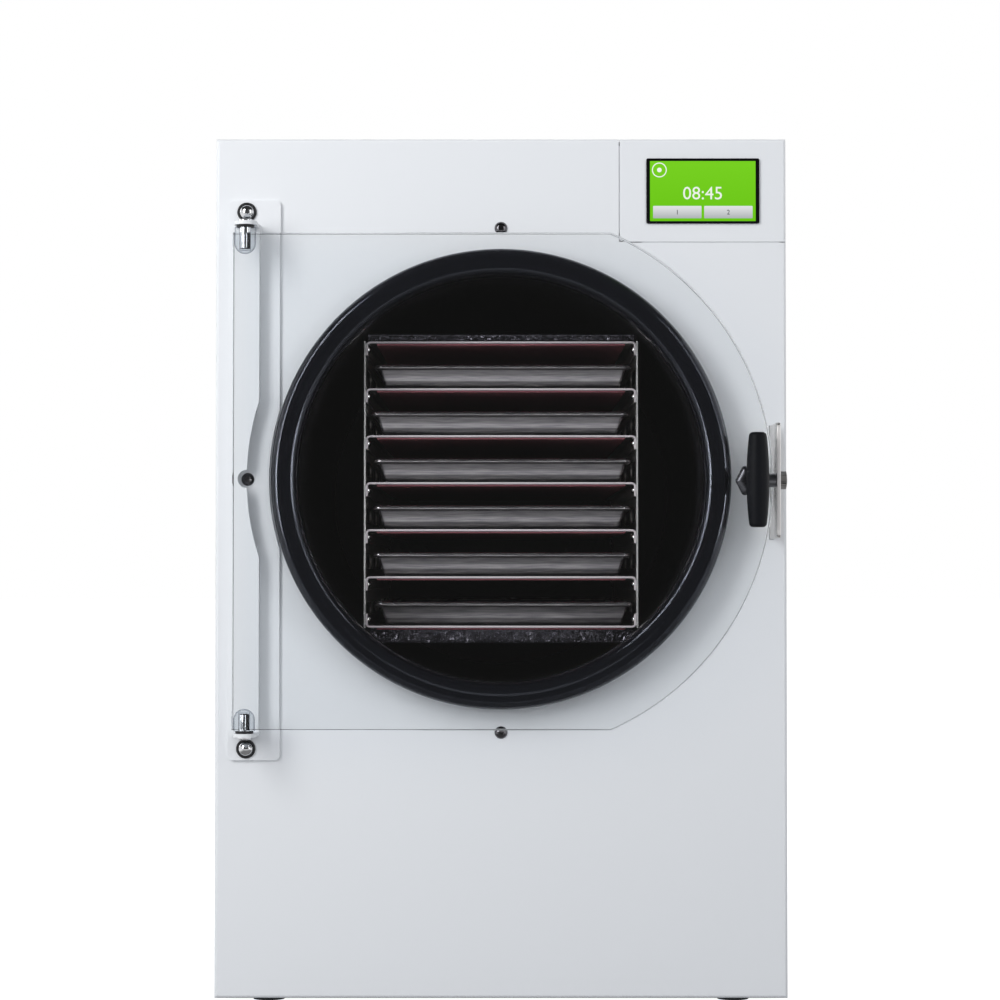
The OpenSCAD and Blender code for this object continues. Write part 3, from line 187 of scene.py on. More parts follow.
floor_half, floor_back = 20, 17.5
bm = bmesh.new()
bmesh.ops.create_grid(bm, x_segments=1, y_segments=1, size=floor_half,
                      matrix=Matrix.Translation((0, floor_back, 0)))
floor = bpy.data.objects.new("floor", bpy.data.meshes.new("floor"))
bm.to_mesh(floor.data)
bm.free()
floor.data.materials.append(floor_paint)
scene.collection.objects.link(floor)

# ---- Cabinet sheets ----
# Steel sheet, folded, then powder coated white: front, wrap-round cover, rear and the control
# sheet at the top right. The coat has a fine orange peel and a soft sheen.


def finish(name, colour, rough, inputs=None):
    """A new material: its colour, roughness and other inputs sit on the shader's own sockets."""
    made = bpy.data.materials.new(name)
    made.use_nodes = True
    shader = made.node_tree.nodes["Principled BSDF"]
    shader.inputs["Base Color"].default_value = tone(colour)
    shader.inputs["Roughness"].default_value = rough
    for key, value in (inputs or {}).items():
        shader.inputs[key].default_value = value
    return made


def grain(made, size, rough, depth, stretch=(1, 1, 1), tint=None):
    """Fine surface of a material: noise of that size, in metres, sways its roughness between two values,
    raises it by depth and, where tint holds two colours, carries it from one to the other."""
    tree = made.node_tree
    shader = tree.nodes["Principled BSDF"]
    place = add(tree, "ShaderNodeTexCoord")
    drawn = add(tree, "ShaderNodeMapping", {"Vector": place.outputs["Object"], "Scale": stretch})
    specks = add(tree, "ShaderNodeTexNoise", {"Vector": drawn.outputs[0], "Scale": 1 / size, "Detail": 3.0})
    sway = add(tree, "ShaderNodeMapRange", {"Value": specks.outputs[0], "From Min": 0.3, "From Max": 0.7,
                                            "To Min": rough[0], "To Max": rough[1]})
    tree.links.new(sway.outputs[0], shader.inputs["Roughness"])
    raised = add(tree, "ShaderNodeBump", {"Height": specks.outputs[0], "Distance": depth})
    tree.links.new(raised.outputs[0], shader.inputs["Normal"])
    if tint:
        ramp = add(tree, "ShaderNodeValToRGB", {0: specks.outputs[0]})
        for stop, at, colour in zip(ramp.color_ramp.elements, (0.35, 0.65), tint):
            stop.position = at
            stop.color = tone(colour)
        tree.links.new(ramp.outputs[0], shader.inputs["Base Color"])


def dress(material, *names):
    """Gives pieces of the construction model their finish."""
    for name in names:
        nodes[name].data.materials.clear()
        nodes[name].data.materials.append(material)


# Polyester powder coat on steel, IOR about 1.5: smooth enough for a soft sheen
powder_white = finish("powder_coated_steel_white", "eaecee", 0.4, {"IOR": 1.5})
grain(powder_white, 0.0012, (0.36, 0.44), 0.000012)
dress(powder_white, "front_panel", "wrap_cover", "rear_panel", "control_fascia")

# ---- Base pan and feet ----
# Folded galvanised tray that carries everything, on four moulded rubber feet that are screwed
# into its corners.

# Hot dip zinc: dull blue grey, with broad spangles that differ a little in tone and gloss
galvanised = finish("galvanised_steel_sheet", "a9aeb1", 0.45, {"Metallic": 1.0})
grain(galvanised, 0.009, (0.34, 0.56), 0.00002, tint=("9a9fa3", "b7bcbf"))
dress(galvanised, "base_pan")

# Moulded rubber: near black and matt, a little uneven
foot_rubber = finish("moulded_rubber_black", "1d1d1f", 0.7, {"IOR": 1.52})
grain(foot_rubber, 0.0008, (0.6, 0.8), 0.00004)
dress(foot_rubber, "feet")

# ---- Screws of the rear sheet ----
# Eight dome screws with a hexagon socket, turned from bar and nickel plated. They hold the rear
# sheet to the wrap-round cover in two columns.

# Nickel plate: a bright mirror, softened by the turning beneath it
nickel = finish("nickel_plated_steel", "c9cacb", 0.14, {"Metallic": 1.0})
grain(nickel, 0.0006, (0.1, 0.18), 0.000002)


def lathe(outline, steps=64):
    """A turned part: an outline of (radius, height) points spun round +Z."""
    bm = bmesh.new()
    points = [bm.verts.new((r, 0, z)) for r, z in outline]
    edges = [bm.edges.new(pair) for pair in zip(points, points[1:])]
    bmesh.ops.spin(bm, geom=points + edges, cent=(0, 0, 0), axis=(0, 0, 1), angle=2 * math.pi,
                   steps=steps, use_merge=True)
    bmesh.ops.remove_doubles(bm, verts=bm.verts, dist=1e-7)
    bmesh.ops.recalc_face_normals(bm, faces=bm.faces)
    return bm


def arc(centre, radius, start, end, count):
    """Points on an arc of an outline, from one angle to another in degrees."""
    turns = [math.radians(start + (end - start) * i / count) for i in range(count + 1)]
    return [(centre[0] + radius * math.cos(a), centre[1] + radius * math.sin(a)) for a in turns]


def place_part(bm, part, *moves):
    """Moves a finished part by some matrices, the last one first, and adds it to a piece."""
    for move in reversed(moves):
        part.transform(move)
    scratch = bpy.data.meshes.new("part")
    part.to_mesh(scratch)
    part.free()
    bm.from_mesh(scratch)
    bpy.data.meshes.remove(scratch)


def build(name, bm, material, body, stands_for=(), crease=32):
    """Makes a piece of a bmesh: edges sharper than crease degrees stay sharp, the rest shade smoothly."""
    for face in bm.faces:
        face.smooth = True
    for edge in bm.edges:
        edge.smooth = edge.calc_face_angle(0) < math.radians(crease)
    made = bpy.data.objects.new(name, bpy.data.meshes.new(name))
    bm.to_mesh(made.data)
    bm.free()
    made.data.materials.append(material)
    scene.collection.objects.link(made)
    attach(made, body)
    if stands_for:
        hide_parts(*stands_for)
    return made


def dome_head(radius, height, socket):
    """A dome screw head that stands on z = 0, with a hexagon socket of that half width across its corners."""
    lip = radius * 0.08
    dome = (radius ** 2 + (height - lip) ** 2) / (2 * (height - lip))
    reach = math.degrees(math.asin(radius / dome))
    inner = math.degrees(math.asin(socket / dome))
    top = height - dome
    outline = [(0, 0), (radius, 0)] + arc((0, top), dome, 90 - reach, 90 - inner, 10)
    outline += [(socket * 0.97, outline[-1][1] - lip), (socket * 0.95, height * 0.35), (0, height * 0.28)]
    bm = lathe(outline, 48)
    for v in bm.verts:
        across = math.hypot(v.co.x, v.co.y)
        if height * 0.3 < v.co.z and 0.5 * socket < across < 1.01 * socket:
            side = (math.degrees(math.atan2(v.co.y, v.co.x)) % 60) - 30
            flat = math.cos(math.radians(30)) / math.cos(math.radians(side))
            v.co.x *= flat
            v.co.y *= flat
    return bm


def shank(radius, length):
    """The plain shank below a head, with a chamfered end."""
    chamfer = [(radius, -length + radius / 3), (radius * 0.7, -length)]
    return lathe([(0, 0), (radius, 0)] + chamfer + [(0, -length)], 32)


lo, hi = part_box("cover_screws")
rear_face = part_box("rear_panel")[1].y
head_r, head_h, socket, shank_r, shank_deep = 0.0042, 0.0024, 0.0019, 0.002, 0.006
backwards = Matrix.Rotation(math.radians(-90), 4, "X")
column = hi.z - lo.z - 2 * head_r
bm = bmesh.new()
for x in (lo.x + head_r, hi.x - head_r):
    for share in (0, 0.33, 0.66, 1):
        spot = Matrix.Translation((x, rear_face, lo.z + head_r + share * column)) @ backwards
        place_part(bm, dome_head(head_r, head_h, socket), spot)
        place_part(bm, shank(shank_r, shank_deep), spot)
build("rear_sheet_screws", bm, nickel, "cabinet", ["cover_screws"])

# ---- Control panel ----
# A flush glass screen in a black frame: a lit green field with two soft grey buttons, a ring
# shaped button in the corner and plain numbers. Its circuit boards stand behind the sheet.

# Black glossy plastic, moulded in a polished tool
gloss_black = finish("gloss_black_plastic", "0b0b0d", 0.12, {"IOR": 1.5})
grain(gloss_black, 0.002, (0.08, 0.16), 0.000002)
dress(gloss_black, "screen_bezel")

# Glass cloth and epoxy under a green solder mask: a half gloss with the weave just felt
board_green = finish("glass_epoxy_board", "1f5a34", 0.4, {"IOR": 1.55})
grain(board_green, 0.0011, (0.32, 0.5), 0.00002, tint=("194d2c", "28693f"))
dress(board_green, "display_module", "control_board")


def lit_glass(name, low, high, lowest, highest):
    """Screen glass, lit from behind: its colour runs from low to high between two heights."""
    made = bpy.data.materials.new(name)
    made.use_nodes = True
    tree = made.node_tree
    shader = tree.nodes["Principled BSDF"]
    place = add(tree, "ShaderNodeTexCoord")
    axes = add(tree, "ShaderNodeSeparateXYZ", {0: place.outputs["Object"]})
    up = add(tree, "ShaderNodeMapRange", {"Value": axes.outputs["Z"], "From Min": lowest,
                                          "From Max": highest})
    ramp = add(tree, "ShaderNodeValToRGB", {0: up.outputs[0]})
    ramp.color_ramp.elements[0].color = tone(low)
    ramp.color_ramp.elements[1].color = tone(high)
    tree.links.new(ramp.outputs[0], shader.inputs["Emission Color"])
    shader.inputs["Emission Strength"].default_value = 0.92
    shader.inputs["Base Color"].default_value = tone("060706")
    shader.inputs["Roughness"].default_value = 0.2
    return made


def plate(width, height, thick, corner, x, z, front):
    """A thin upright plate with round corners, its face at y = front."""
    bm = bmesh.new()
    bmesh.ops.create_cube(bm, size=1, matrix=Matrix.Diagonal((width, thick, height, 1)))
    edges = [e for e in bm.edges if abs(e.verts[0].co.y - e.verts[1].co.y) > thick / 2]
    bmesh.ops.bevel(bm, geom=edges, offset=corner, segments=6, profile=0.5, affect="EDGES", material=-1)
    bm.transform(Matrix.Translation((x, front + thick / 2, z)))
    return bm


lo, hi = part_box("screen_bezel")
screen_x, screen_z = (lo.x + hi.x) / 2, (lo.z + hi.z) / 2
glass_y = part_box("display_module")[0].y
field_w, field_h, field_corner, film = 0.0953, 0.0543, 0.0004, 0.00012
field = lit_glass("screen_field_green", "6dcb0c", "7ad71c", screen_z - field_h / 2, screen_z + field_h / 2)
build("screen_field", plate(field_w, field_h, film, field_corner, screen_x, screen_z, glass_y - film),
      field, "cabinet")

button_w, button_h, button_corner, button_lift, half_gap = 0.0437, 0.0112, 0.0007, 0.0025, 0.0012
button_z = screen_z - field_h / 2 + button_lift + button_h / 2
button_grey = lit_glass("screen_button_grey", "b4b9bb", "eceeef",
                        button_z - button_h / 2, button_z + button_h / 2)
bm = bmesh.new()
for side in (-1, 1):
    button_x = screen_x + side * (button_w / 2 + half_gap)
    place_part(bm, plate(button_w, button_h, film, button_corner, button_x, button_z, glass_y - 2 * film))
build("screen_buttons", bm, button_grey, "cabinet")

marks_low, marks_high = screen_z - 0.03, screen_z + 0.03
screen_white = lit_glass("screen_marks_white", "f4faec", "fdfff9", marks_low, marks_high)
screen_ink = lit_glass("screen_marks_grey", "3c4143", "3c4143", marks_low, marks_high)
facing = Matrix.Rotation(math.radians(90), 4, "X")
ring_r, dot_r = 0.0067, 0.0021
ring_in = ring_r - 0.0009
ring_spot = Matrix.Translation((lo.x + 0.0118, glass_y - film, hi.z - 0.0104))
bm = lathe([(ring_in, 0), (ring_r, 0), (ring_r, film), (ring_in, film), (ring_in, 0)], 64)
place_part(bm, lathe([(0, 0), (dot_r, 0), (dot_r, film), (0, film)], 32))
bm.transform(ring_spot @ facing)
build("screen_ring", bm, screen_white, "cabinet")


def digits(name, text, size, x, z, material):
    """Plain figures on the screen, as a thin flat mesh."""
    curve = bpy.data.curves.new(name, "FONT")
    curve.body = text
    curve.size = size
    curve.align_x = "CENTER"
    curve.extrude = film / 4
    curve.resolution_u = 3
    scratch = bpy.data.objects.new(name + "_curve", curve)
    scene.collection.objects.link(scratch)
    bpy.context.view_layer.update()
    bm = bmesh.new()
    bm.from_mesh(scratch.evaluated_get(bpy.context.evaluated_depsgraph_get()).to_mesh())
    bpy.data.objects.remove(scratch)
    bm.transform(Matrix.Translation((x, glass_y - 2.6 * film, z)) @ facing)
    build(name, bm, material, "cabinet")


time_size, key_size = 0.0165, 0.0062
key_z = button_z - 0.0022
digits("screen_time", "08:45", time_size, screen_x, screen_z - 0.0075, screen_white)
digits("screen_key_numbers_1", "1", key_size, screen_x - button_w / 2 - half_gap, key_z, screen_ink)
digits("screen_key_numbers_2", "2", key_size, screen_x + button_w / 2 + half_gap, key_z, screen_ink)

# ---- Vacuum drum ----
# Rolled and welded steel drum with a pressed end, coated black inside and out, and the ring that
# bolts it behind the front sheet. A copper coil and a foam jacket lie round it, on two saddles.

# Baked epoxy coat: black with a low, slightly uneven gloss
chamber_black = finish("epoxy_coated_steel_black", "0d0d10", 0.42, {"IOR": 1.5})
grain(chamber_black, 0.0015, (0.36, 0.5), 0.00001)
dress(chamber_black, "drum_shell", "drum_end")

# Bright zinc on rolled steel: a grey metal with cloudy gloss
dark_steel = finish("zinc_plated_steel_dark", "6c6f72", 0.4, {"Metallic": 1.0})
grain(dark_steel, 0.004, (0.32, 0.5), 0.000008)
dress(dark_steel, "drum_ring", "hinge_nut_plates")

# Drawn copper: warm, fairly bright, and tarnished in patches
copper = finish("drawn_copper_tube", "c47a4e", 0.3, {"Metallic": 1.0})
grain(copper, 0.01, (0.24, 0.42), 0.00001, tint=("b56a40", "d08a5e"))
dress(copper, "chilling_coil", "copper_lines", "filter_drier")

# Closed cell foam: cream and matt, with cells of a few millimetres
foam = finish("closed_cell_foam_cream", "d9d1b6", 0.85, {"IOR": 1.45})
grain(foam, 0.0025, (0.8, 0.95), 0.0003, tint=("cfc6a8", "e0d9c1"))
dress(foam, "foam_jacket")
dress(galvanised, "drum_saddles")

# ---- Door seal ----
# Glossy moulded rubber ring, pushed over the drum's rim: a flat face between two round beads,
# waisted behind the face.

# Rubber from a polished mould: blue black, with sharp highlights along both beads
seal_rubber = finish("moulded_rubber_glossy_black", "0b0c11", 0.15,
                     {"IOR": 1.52, "Specular Tint": tone("e2e8fb")})
grain(seal_rubber, 0.0011, (0.08, 0.13), 0.000003)
lo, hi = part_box("door_seal")
drum_z = (lo.z + hi.z) / 2
seal_r = (hi.x - lo.x) / 2
seal_in, depth = 0.1813, hi.y - lo.y
rim_r = seal_r - 0.0184
bead_r, face_from, face_sunk = 0.0085, 0.0115, 0.0012
lip_z, lip_t, groove_top, rim_gap = 0.008, 0.0026, 0.019, 0.0001
foot_r, waist = 0.002, 0.0035
outline = arc((seal_r - bead_r, depth - bead_r), bead_r, 0, 78, 14)
outline += [(seal_r - face_from, depth - face_sunk), (seal_in + face_from, depth - face_sunk)]
outline += arc((seal_in + bead_r, depth - bead_r), bead_r, 104, 180, 12)
outline += [(seal_in, 0.0086), (seal_in + 0.0006, lip_z)]
outline += [(seal_in + lip_t, lip_z), (seal_in + lip_t, groove_top)]
outline += [(rim_r + rim_gap, groove_top), (rim_r + rim_gap, 0), (seal_r - 2 * foot_r, 0)]
outline += arc((seal_r - 2 * foot_r, foot_r), foot_r, -90, 0, 4)
outline += [(seal_r - foot_r, 0.0045), (seal_r - waist, lip_z), (seal_r - waist, 0.014), (seal_r, groove_top)]
outline.append(outline[0])
bm = lathe(outline, 256)
bm.transform(Matrix.Translation((0, hi.y, drum_z)) @ facing)
build("rubber_door_seal", bm, seal_rubber, "cabinet", ["door_seal"])

# ---- Ring screws ----
# Four black dome screws that hold the front sheet to the drum's ring. The left one also holds
# the middle of the hinge bracket.

# Black nickel plate: a dark, sharp mirror
black_nickel = finish("black_nickel_plated_steel", "6b6a6e", 0.12, {"Metallic": 1.0})
grain(black_nickel, 0.0007, (0.08, 0.16), 0.000002)
lo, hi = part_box("ring_screws")
head_r, head_h, socket, shank_r, shank_deep = 0.0058, 0.0036, 0.0026, 0.0025, 0.009
reach = (hi.x - lo.x) / 2 - head_r
hinge_head_h = 0.0056
bracket_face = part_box("hinge_screws")[0].y + hinge_head_h
bm = bmesh.new()
for quarter in range(4):
    x, z = reach * math.cos(quarter * math.pi / 2), reach * math.sin(quarter * math.pi / 2)
    seat_y = bracket_face if quarter == 2 else sheet_front
    spot = Matrix.Translation((x, seat_y, drum_z + z)) @ facing
    place_part(bm, dome_head(head_r, head_h, socket), spot)
    place_part(bm, shank(shank_r, shank_deep), spot)
build("drum_ring_screws", bm, black_nickel, "cabinet", ["ring_screws"])

# ---- Refrigeration ----
# Enamelled compressor on rubber grommets, a finned condenser with its shroud and fan, and the
# drier, joined by copper lines.

# Baked enamel on a pressed can: black with a clear gloss
can_enamel = finish("baked_enamel_black", "17171a", 0.25, {"IOR": 1.5})
grain(can_enamel, 0.0015, (0.2, 0.32), 0.00001)
dress(can_enamel, "compressor")
dress(foot_rubber, "compressor_grommets")

# Rolled aluminium fins: pale metal, finely streaked
fin_alloy = finish("rolled_aluminium_fins", "c4c7c9", 0.35, {"Metallic": 1.0})
grain(fin_alloy, 0.002, (0.28, 0.45), 0.000004, stretch=(1, 6, 1))
dress(fin_alloy, "condenser")
dress(galvanised, "fan_shroud")

# Grey enamel: even, half glossy
motor_enamel = finish("enamelled_steel_grey", "43464a", 0.35, {"IOR": 1.5})
grain(motor_enamel, 0.0012, (0.28, 0.42), 0.00001)
dress(motor_enamel, "fan_motor")

# Moulded polypropylene: dark grey with a waxy, low gloss
fan_plastic = finish("moulded_polypropylene_grey", "2b2d31", 0.45, {"IOR": 1.49})
grain(fan_plastic, 0.0009, (0.4, 0.52), 0.00001)
dress(fan_plastic, "fan_rotor")

# ---- Rear fittings ----
# Turned brass vacuum port and ball valve, stainless pipes, the red lever of the drain, and
# moulded black inlet, outlet and switch.

# Turned brass: yellow, with a soft gloss that varies with the tool marks
brass = finish("turned_brass", "d3ad5c", 0.25, {"Metallic": 1.0})
grain(brass, 0.0008, (0.2, 0.32), 0.000004, tint=("c79f4e", "dcb86a"))
dress(brass, "vacuum_port", "drain_valve")

# Brushed stainless pipe: grey, with fine marks across it
stainless = finish("brushed_stainless_steel", "a7a5a3", 0.3, {"Metallic": 1.0})
grain(stainless, 0.0016, (0.24, 0.4), 0.000006, stretch=(0.06, 1, 1), tint=("9c9a98", "b1afad"))
dress(stainless, "vacuum_pipe", "drain_pipe")

# Vinyl dipped over steel: thick, smooth and red
vinyl_red = finish("dipped_vinyl_red", "b3231a", 0.35, {"IOR": 1.53})
grain(vinyl_red, 0.001, (0.3, 0.42), 0.00002)
dress(vinyl_red, "drain_lever")

# Moulded nylon: black with a fine spark texture
moulded_black = finish("moulded_nylon_black", "1b1b1e", 0.5, {"IOR": 1.53})
grain(moulded_black, 0.0007, (0.44, 0.58), 0.00002)
dress(moulded_black, "power_inlet", "pump_outlet", "switch_housing", "switch_rocker")

# ---- Shelf rack ----
# Two stainless side plates carry seven folded shelves on small screws. A silicone heater mat is
# bonded under each shelf, and crinkled foil lies above and below the rack.


def softened(name, node, material, body, radius, steps=2):
    """A piece shaped as one of the construction model, its sharp edges broken by a small radius."""
    bm = bmesh.new()
    bm.from_mesh(nodes[node].data)
    bmesh.ops.remove_doubles(bm, verts=bm.verts, dist=1e-6)
    bmesh.ops.dissolve_limit(bm, angle_limit=math.radians(0.4), verts=bm.verts, edges=bm.edges)
    made = build(name, bm, material, body, [node])
    broken = made.modifiers.new("broken_edges", "BEVEL")
    broken.width = radius
    broken.segments = steps
    broken.limit_method = "ANGLE"
    broken.angle_limit = math.radians(35)
    broken.harden_normals = True
    return made


# Side plates: stainless sheet brushed front to back, with a painted highlight along their front edges
sheet_steel = finish("brushed_stainless_sheet", "b4b0ae", 0.34, {"Metallic": 1.0})
grain(sheet_steel, 0.0016, (0.28, 0.42), 0.000006, stretch=(1, 0.06, 1), tint=("a9a5a3", "beb9b6"))
rack_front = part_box("rack_side_left")[0].y


def painted_edge_highlight(made, front, depth, colour, rough, metallic):
    """The front edge of a sheet, paler, rougher and less metallic over a small depth: a painted highlight
    along the edge.
    """
    tree = made.node_tree
    shader = tree.nodes["Principled BSDF"]
    place = add(tree, "ShaderNodeTexCoord")
    axes = add(tree, "ShaderNodeSeparateXYZ", {0: place.outputs["Object"]})
    edge = add(tree, "ShaderNodeMapRange", {"Value": axes.outputs["Y"], "From Min": front + depth * 0.6,
                                            "From Max": front + depth, "To Min": 1.0, "To Max": 0.0})
    sheet = shader.inputs["Base Color"].links[0].from_socket
    mixed = add(tree, "ShaderNodeMix", {0: edge.outputs[0], 6: sheet, 7: tone(colour)}, data_type="RGBA")
    tree.links.new(mixed.outputs[2], shader.inputs["Base Color"])
    sheet = shader.inputs["Roughness"].links[0].from_socket
    mixed = add(tree, "ShaderNodeMix", {0: edge.outputs[0], 2: sheet, 3: rough}, data_type="FLOAT")
    tree.links.new(mixed.outputs[0], shader.inputs["Roughness"])
    metal = add(tree, "ShaderNodeMapRange", {"Value": edge.outputs[0], "To Min": 1.0, "To Max": metallic})
    tree.links.new(metal.outputs[0], shader.inputs["Metallic"])


# Painted highlight: the side plates' front edges are made paler
painted_edge_highlight(sheet_steel, rack_front, 0.0008, "c9c7c6", 0.5, 0.6)
softened("rack_plate_left", "rack_side_left", sheet_steel, "cabinet", 0.0004)
softened("rack_plate_right", "rack_side_right", sheet_steel, "cabinet", 0.0004)

# Shelves: the same sheet brushed from side to side, with a pale painted highlight along their front edges
shelf_steel = finish("linished_stainless_shelf", "b4b0ae", 0.34, {"Metallic": 1.0})
grain(shelf_steel, 0.0016, (0.28, 0.42), 0.000006, stretch=(0.06, 1, 1), tint=("a9a5a3", "beb9b6"))
lo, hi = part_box("shelves")
painted_edge_highlight(shelf_steel, lo.y, 0.0012, "d6cdcf", 0.45, 0.1)
shelf_t, shelf_fold, shelf_bend = 0.002, 0.013, 0.0042
shelf_tops = [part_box(f"tray_{k}")[0].z for k in range(1, 7)] + [hi.z]
half = (hi.x - lo.x) / 2
rack_mid = (hi.x + lo.x) / 2
bm = bmesh.new()
for k in range(7):
    part = bmesh.new()
    turn = arc((half - shelf_bend, -shelf_bend), shelf_bend - shelf_t / 2, 0, 90, 6)
    line = [(half - shelf_t / 2, -shelf_fold)] + turn + [(-x, z) for x, z in reversed(turn)]
    line.append((-half + shelf_t / 2, -shelf_fold))
    flip = 1 if k else -1
    level = shelf_tops[k] if k else lo.z
    points = [part.verts.new((rack_mid + x, lo.y, level + flip * z)) for x, z in line]
    edges = [part.edges.new(pair) for pair in zip(points, points[1:])]
    pulled = bmesh.ops.extrude_edge_only(part, edges=edges)["geom"]
    bmesh.ops.translate(part, verts=[v for v in pulled if isinstance(v, bmesh.types.BMVert)],
                        vec=(0, hi.y - lo.y, 0))
    bmesh.ops.recalc_face_normals(part, faces=part.faces)
    place_part(bm, part)
shelves = build("steel_shelves", bm, shelf_steel, "cabinet", ["shelves"], crease=20)
wall = shelves.modifiers.new("sheet_thickness", "SOLIDIFY")
wall.thickness = shelf_t
wall.offset = 0
broken = shelves.modifiers.new("broken_edges", "BEVEL")
broken.width = 0.0007
broken.segments = 3
broken.limit_method = "ANGLE"
broken.angle_limit = math.radians(40)
broken.harden_normals = True

# Silicone rubber on glass cloth: brick red and matt, with the cloth's weave pressed into it
heater = finish("silicone_rubber_heater_mat", "9c5a62", 0.6, {"IOR": 1.43})
grain(heater, 0.0012, (0.5, 0.66), 0.00004, tint=("905058", "aa666e"))
softened("silicone_heater_mats", "heater_mats", heater, "cabinet", 0.0005)

# Aluminium foil, crumpled and laid flat again: small flat facets that glint one by one. Its colours are
# painted much darker
# than bare foil: painted shade of the dark drum round it. The seed makes the crumpling the same in every run
noise.seed_set(1)
foil = finish("crinkled_aluminium_foil", "77737e", 0.16, {"Metallic": 1.0})
grain(foil, 0.0018, (0.16, 0.3), 0.0003, tint=("302f35", "5c5a62"))


def blanket(box, underside):
    """A crinkled blanket in a box: underside gives its lower face's height at each distance across."""
    low, high = box
    hem, thin, crumple = 0.004, 0.0004, 0.0026
    part = bmesh.new()
    bmesh.ops.create_grid(part, x_segments=130, y_segments=90, size=0.5)
    for v in part.verts:
        v.co.x = (low.x + high.x) / 2 + v.co.x * (high.x - low.x)
        v.co.y = (low.y + high.y) / 2 + v.co.y * (high.y - low.y)
    lower = bmesh.ops.extrude_face_region(part, geom=part.faces[:])["geom"]
    lower = {v for v in lower if isinstance(v, bmesh.types.BMVert)}
    for v in part.verts:
        fold = noise.cell(v.co * 160) * 0.5 + noise.noise(v.co * 90) * 0.5
        edge = min(1.0, (v.co.y - low.y) / hem, (high.y - v.co.y) / hem)
        drop = (thin + crumple * abs(fold)) * edge
        base = underside(v.co.x)
        v.co.z = base + drop * 0.6 if v in lower else high.z - drop
    # Its edges are crushed, so their facets turn every way
    rim = [e for e in part.edges if abs(e.verts[0].co.z - e.verts[1].co.z) > 0.001
           and (e.verts[0] in lower) != (e.verts[1] in lower)]
    cuts = bmesh.ops.subdivide_edges(part, edges=rim, cuts=4, use_grid_fill=True)["geom_inner"]
    for v in cuts:
        if isinstance(v, bmesh.types.BMVert):
            inward = 1 if v.co.y < (low.y + high.y) / 2 else -1
            crush = noise.noise_vector(v.co * 900)
            v.co.y += inward * 0.0016 * abs(crush.y)
            v.co.z += 0.0005 * crush.z
    bmesh.ops.recalc_face_normals(part, faces=part.faces)
    return part


lo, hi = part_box("foil_sheets")
foil_room, drum_in_r = 0.0003, 0.1834
top_lo = Vector((lo.x, lo.y, hi.z - 0.006))
bm = bmesh.new()
place_part(bm, blanket((top_lo, hi), lambda x: top_lo.z + foil_room))
low_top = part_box("heater_mats")[0].z - 0.0002
low_half = (hi.x - lo.x) / 2 - 0.001
low_box = (Vector((-low_half, lo.y, lo.z)), Vector((low_half, hi.y, low_top)))
place_part(bm, blanket(low_box, lambda x: max(lo.z + foil_room, drum_z - math.sqrt(drum_in_r ** 2 - x * x))))
build("crinkled_foil_blankets", bm, foil, "cabinet", ["foil_sheets"], crease=4)

# Polished stainless: a clean, bright mirror
bright_steel = finish("polished_stainless_steel", "d2d2d3", 0.1, {"Metallic": 1.0})
grain(bright_steel, 0.0007, (0.07, 0.14), 0.000002)
lo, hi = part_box("rack_screws")
head_r, head_h, socket, shank_r, shank_deep = 0.0034, 0.0026, 0.0014, 0.0019, 0.0042
above_floor, below_top = 0.006, -0.007
bm = bmesh.new()
for k in range(7):
    z = shelf_tops[k] + (below_top if k else above_floor)
    for side in (-1, 1):
        for y in (lo.y + head_r, hi.y - head_r):
            seat = Matrix.Translation((rack_mid + side * (half - shelf_t), y, z))
            facing_in = seat @ Matrix.Rotation(math.radians(-90 * side), 4, "Y")
            place_part(bm, dome_head(head_r, head_h, socket), facing_in)
            place_part(bm, shank(shank_r, shank_deep), facing_in)
build("rack_button_screws", bm, bright_steel, "cabinet", ["rack_screws"])

# ---- Trays ----
# Six deep drawn stainless trays: round corners, leaning walls, a soft turn into the floor and a
# rolled rim. The brushing of the sheet runs level round the walls.


def rounded_loop(part, width, length, corner, z):
    """A closed loop of edges: an oblong with round corners, at one height."""
    points = []
    for quarter, (sx, sy) in enumerate(((1, 1), (-1, 1), (-1, -1), (1, -1))):
        centre = (sx * (width / 2 - corner), sy * (length / 2 - corner))
        points += arc(centre, corner, quarter * 90, quarter * 90 + 90, 10)
    made = [part.verts.new((x, y, z)) for x, y in points]
    return [part.edges.new(pair) for pair in zip(made, made[1:] + made[:1])]


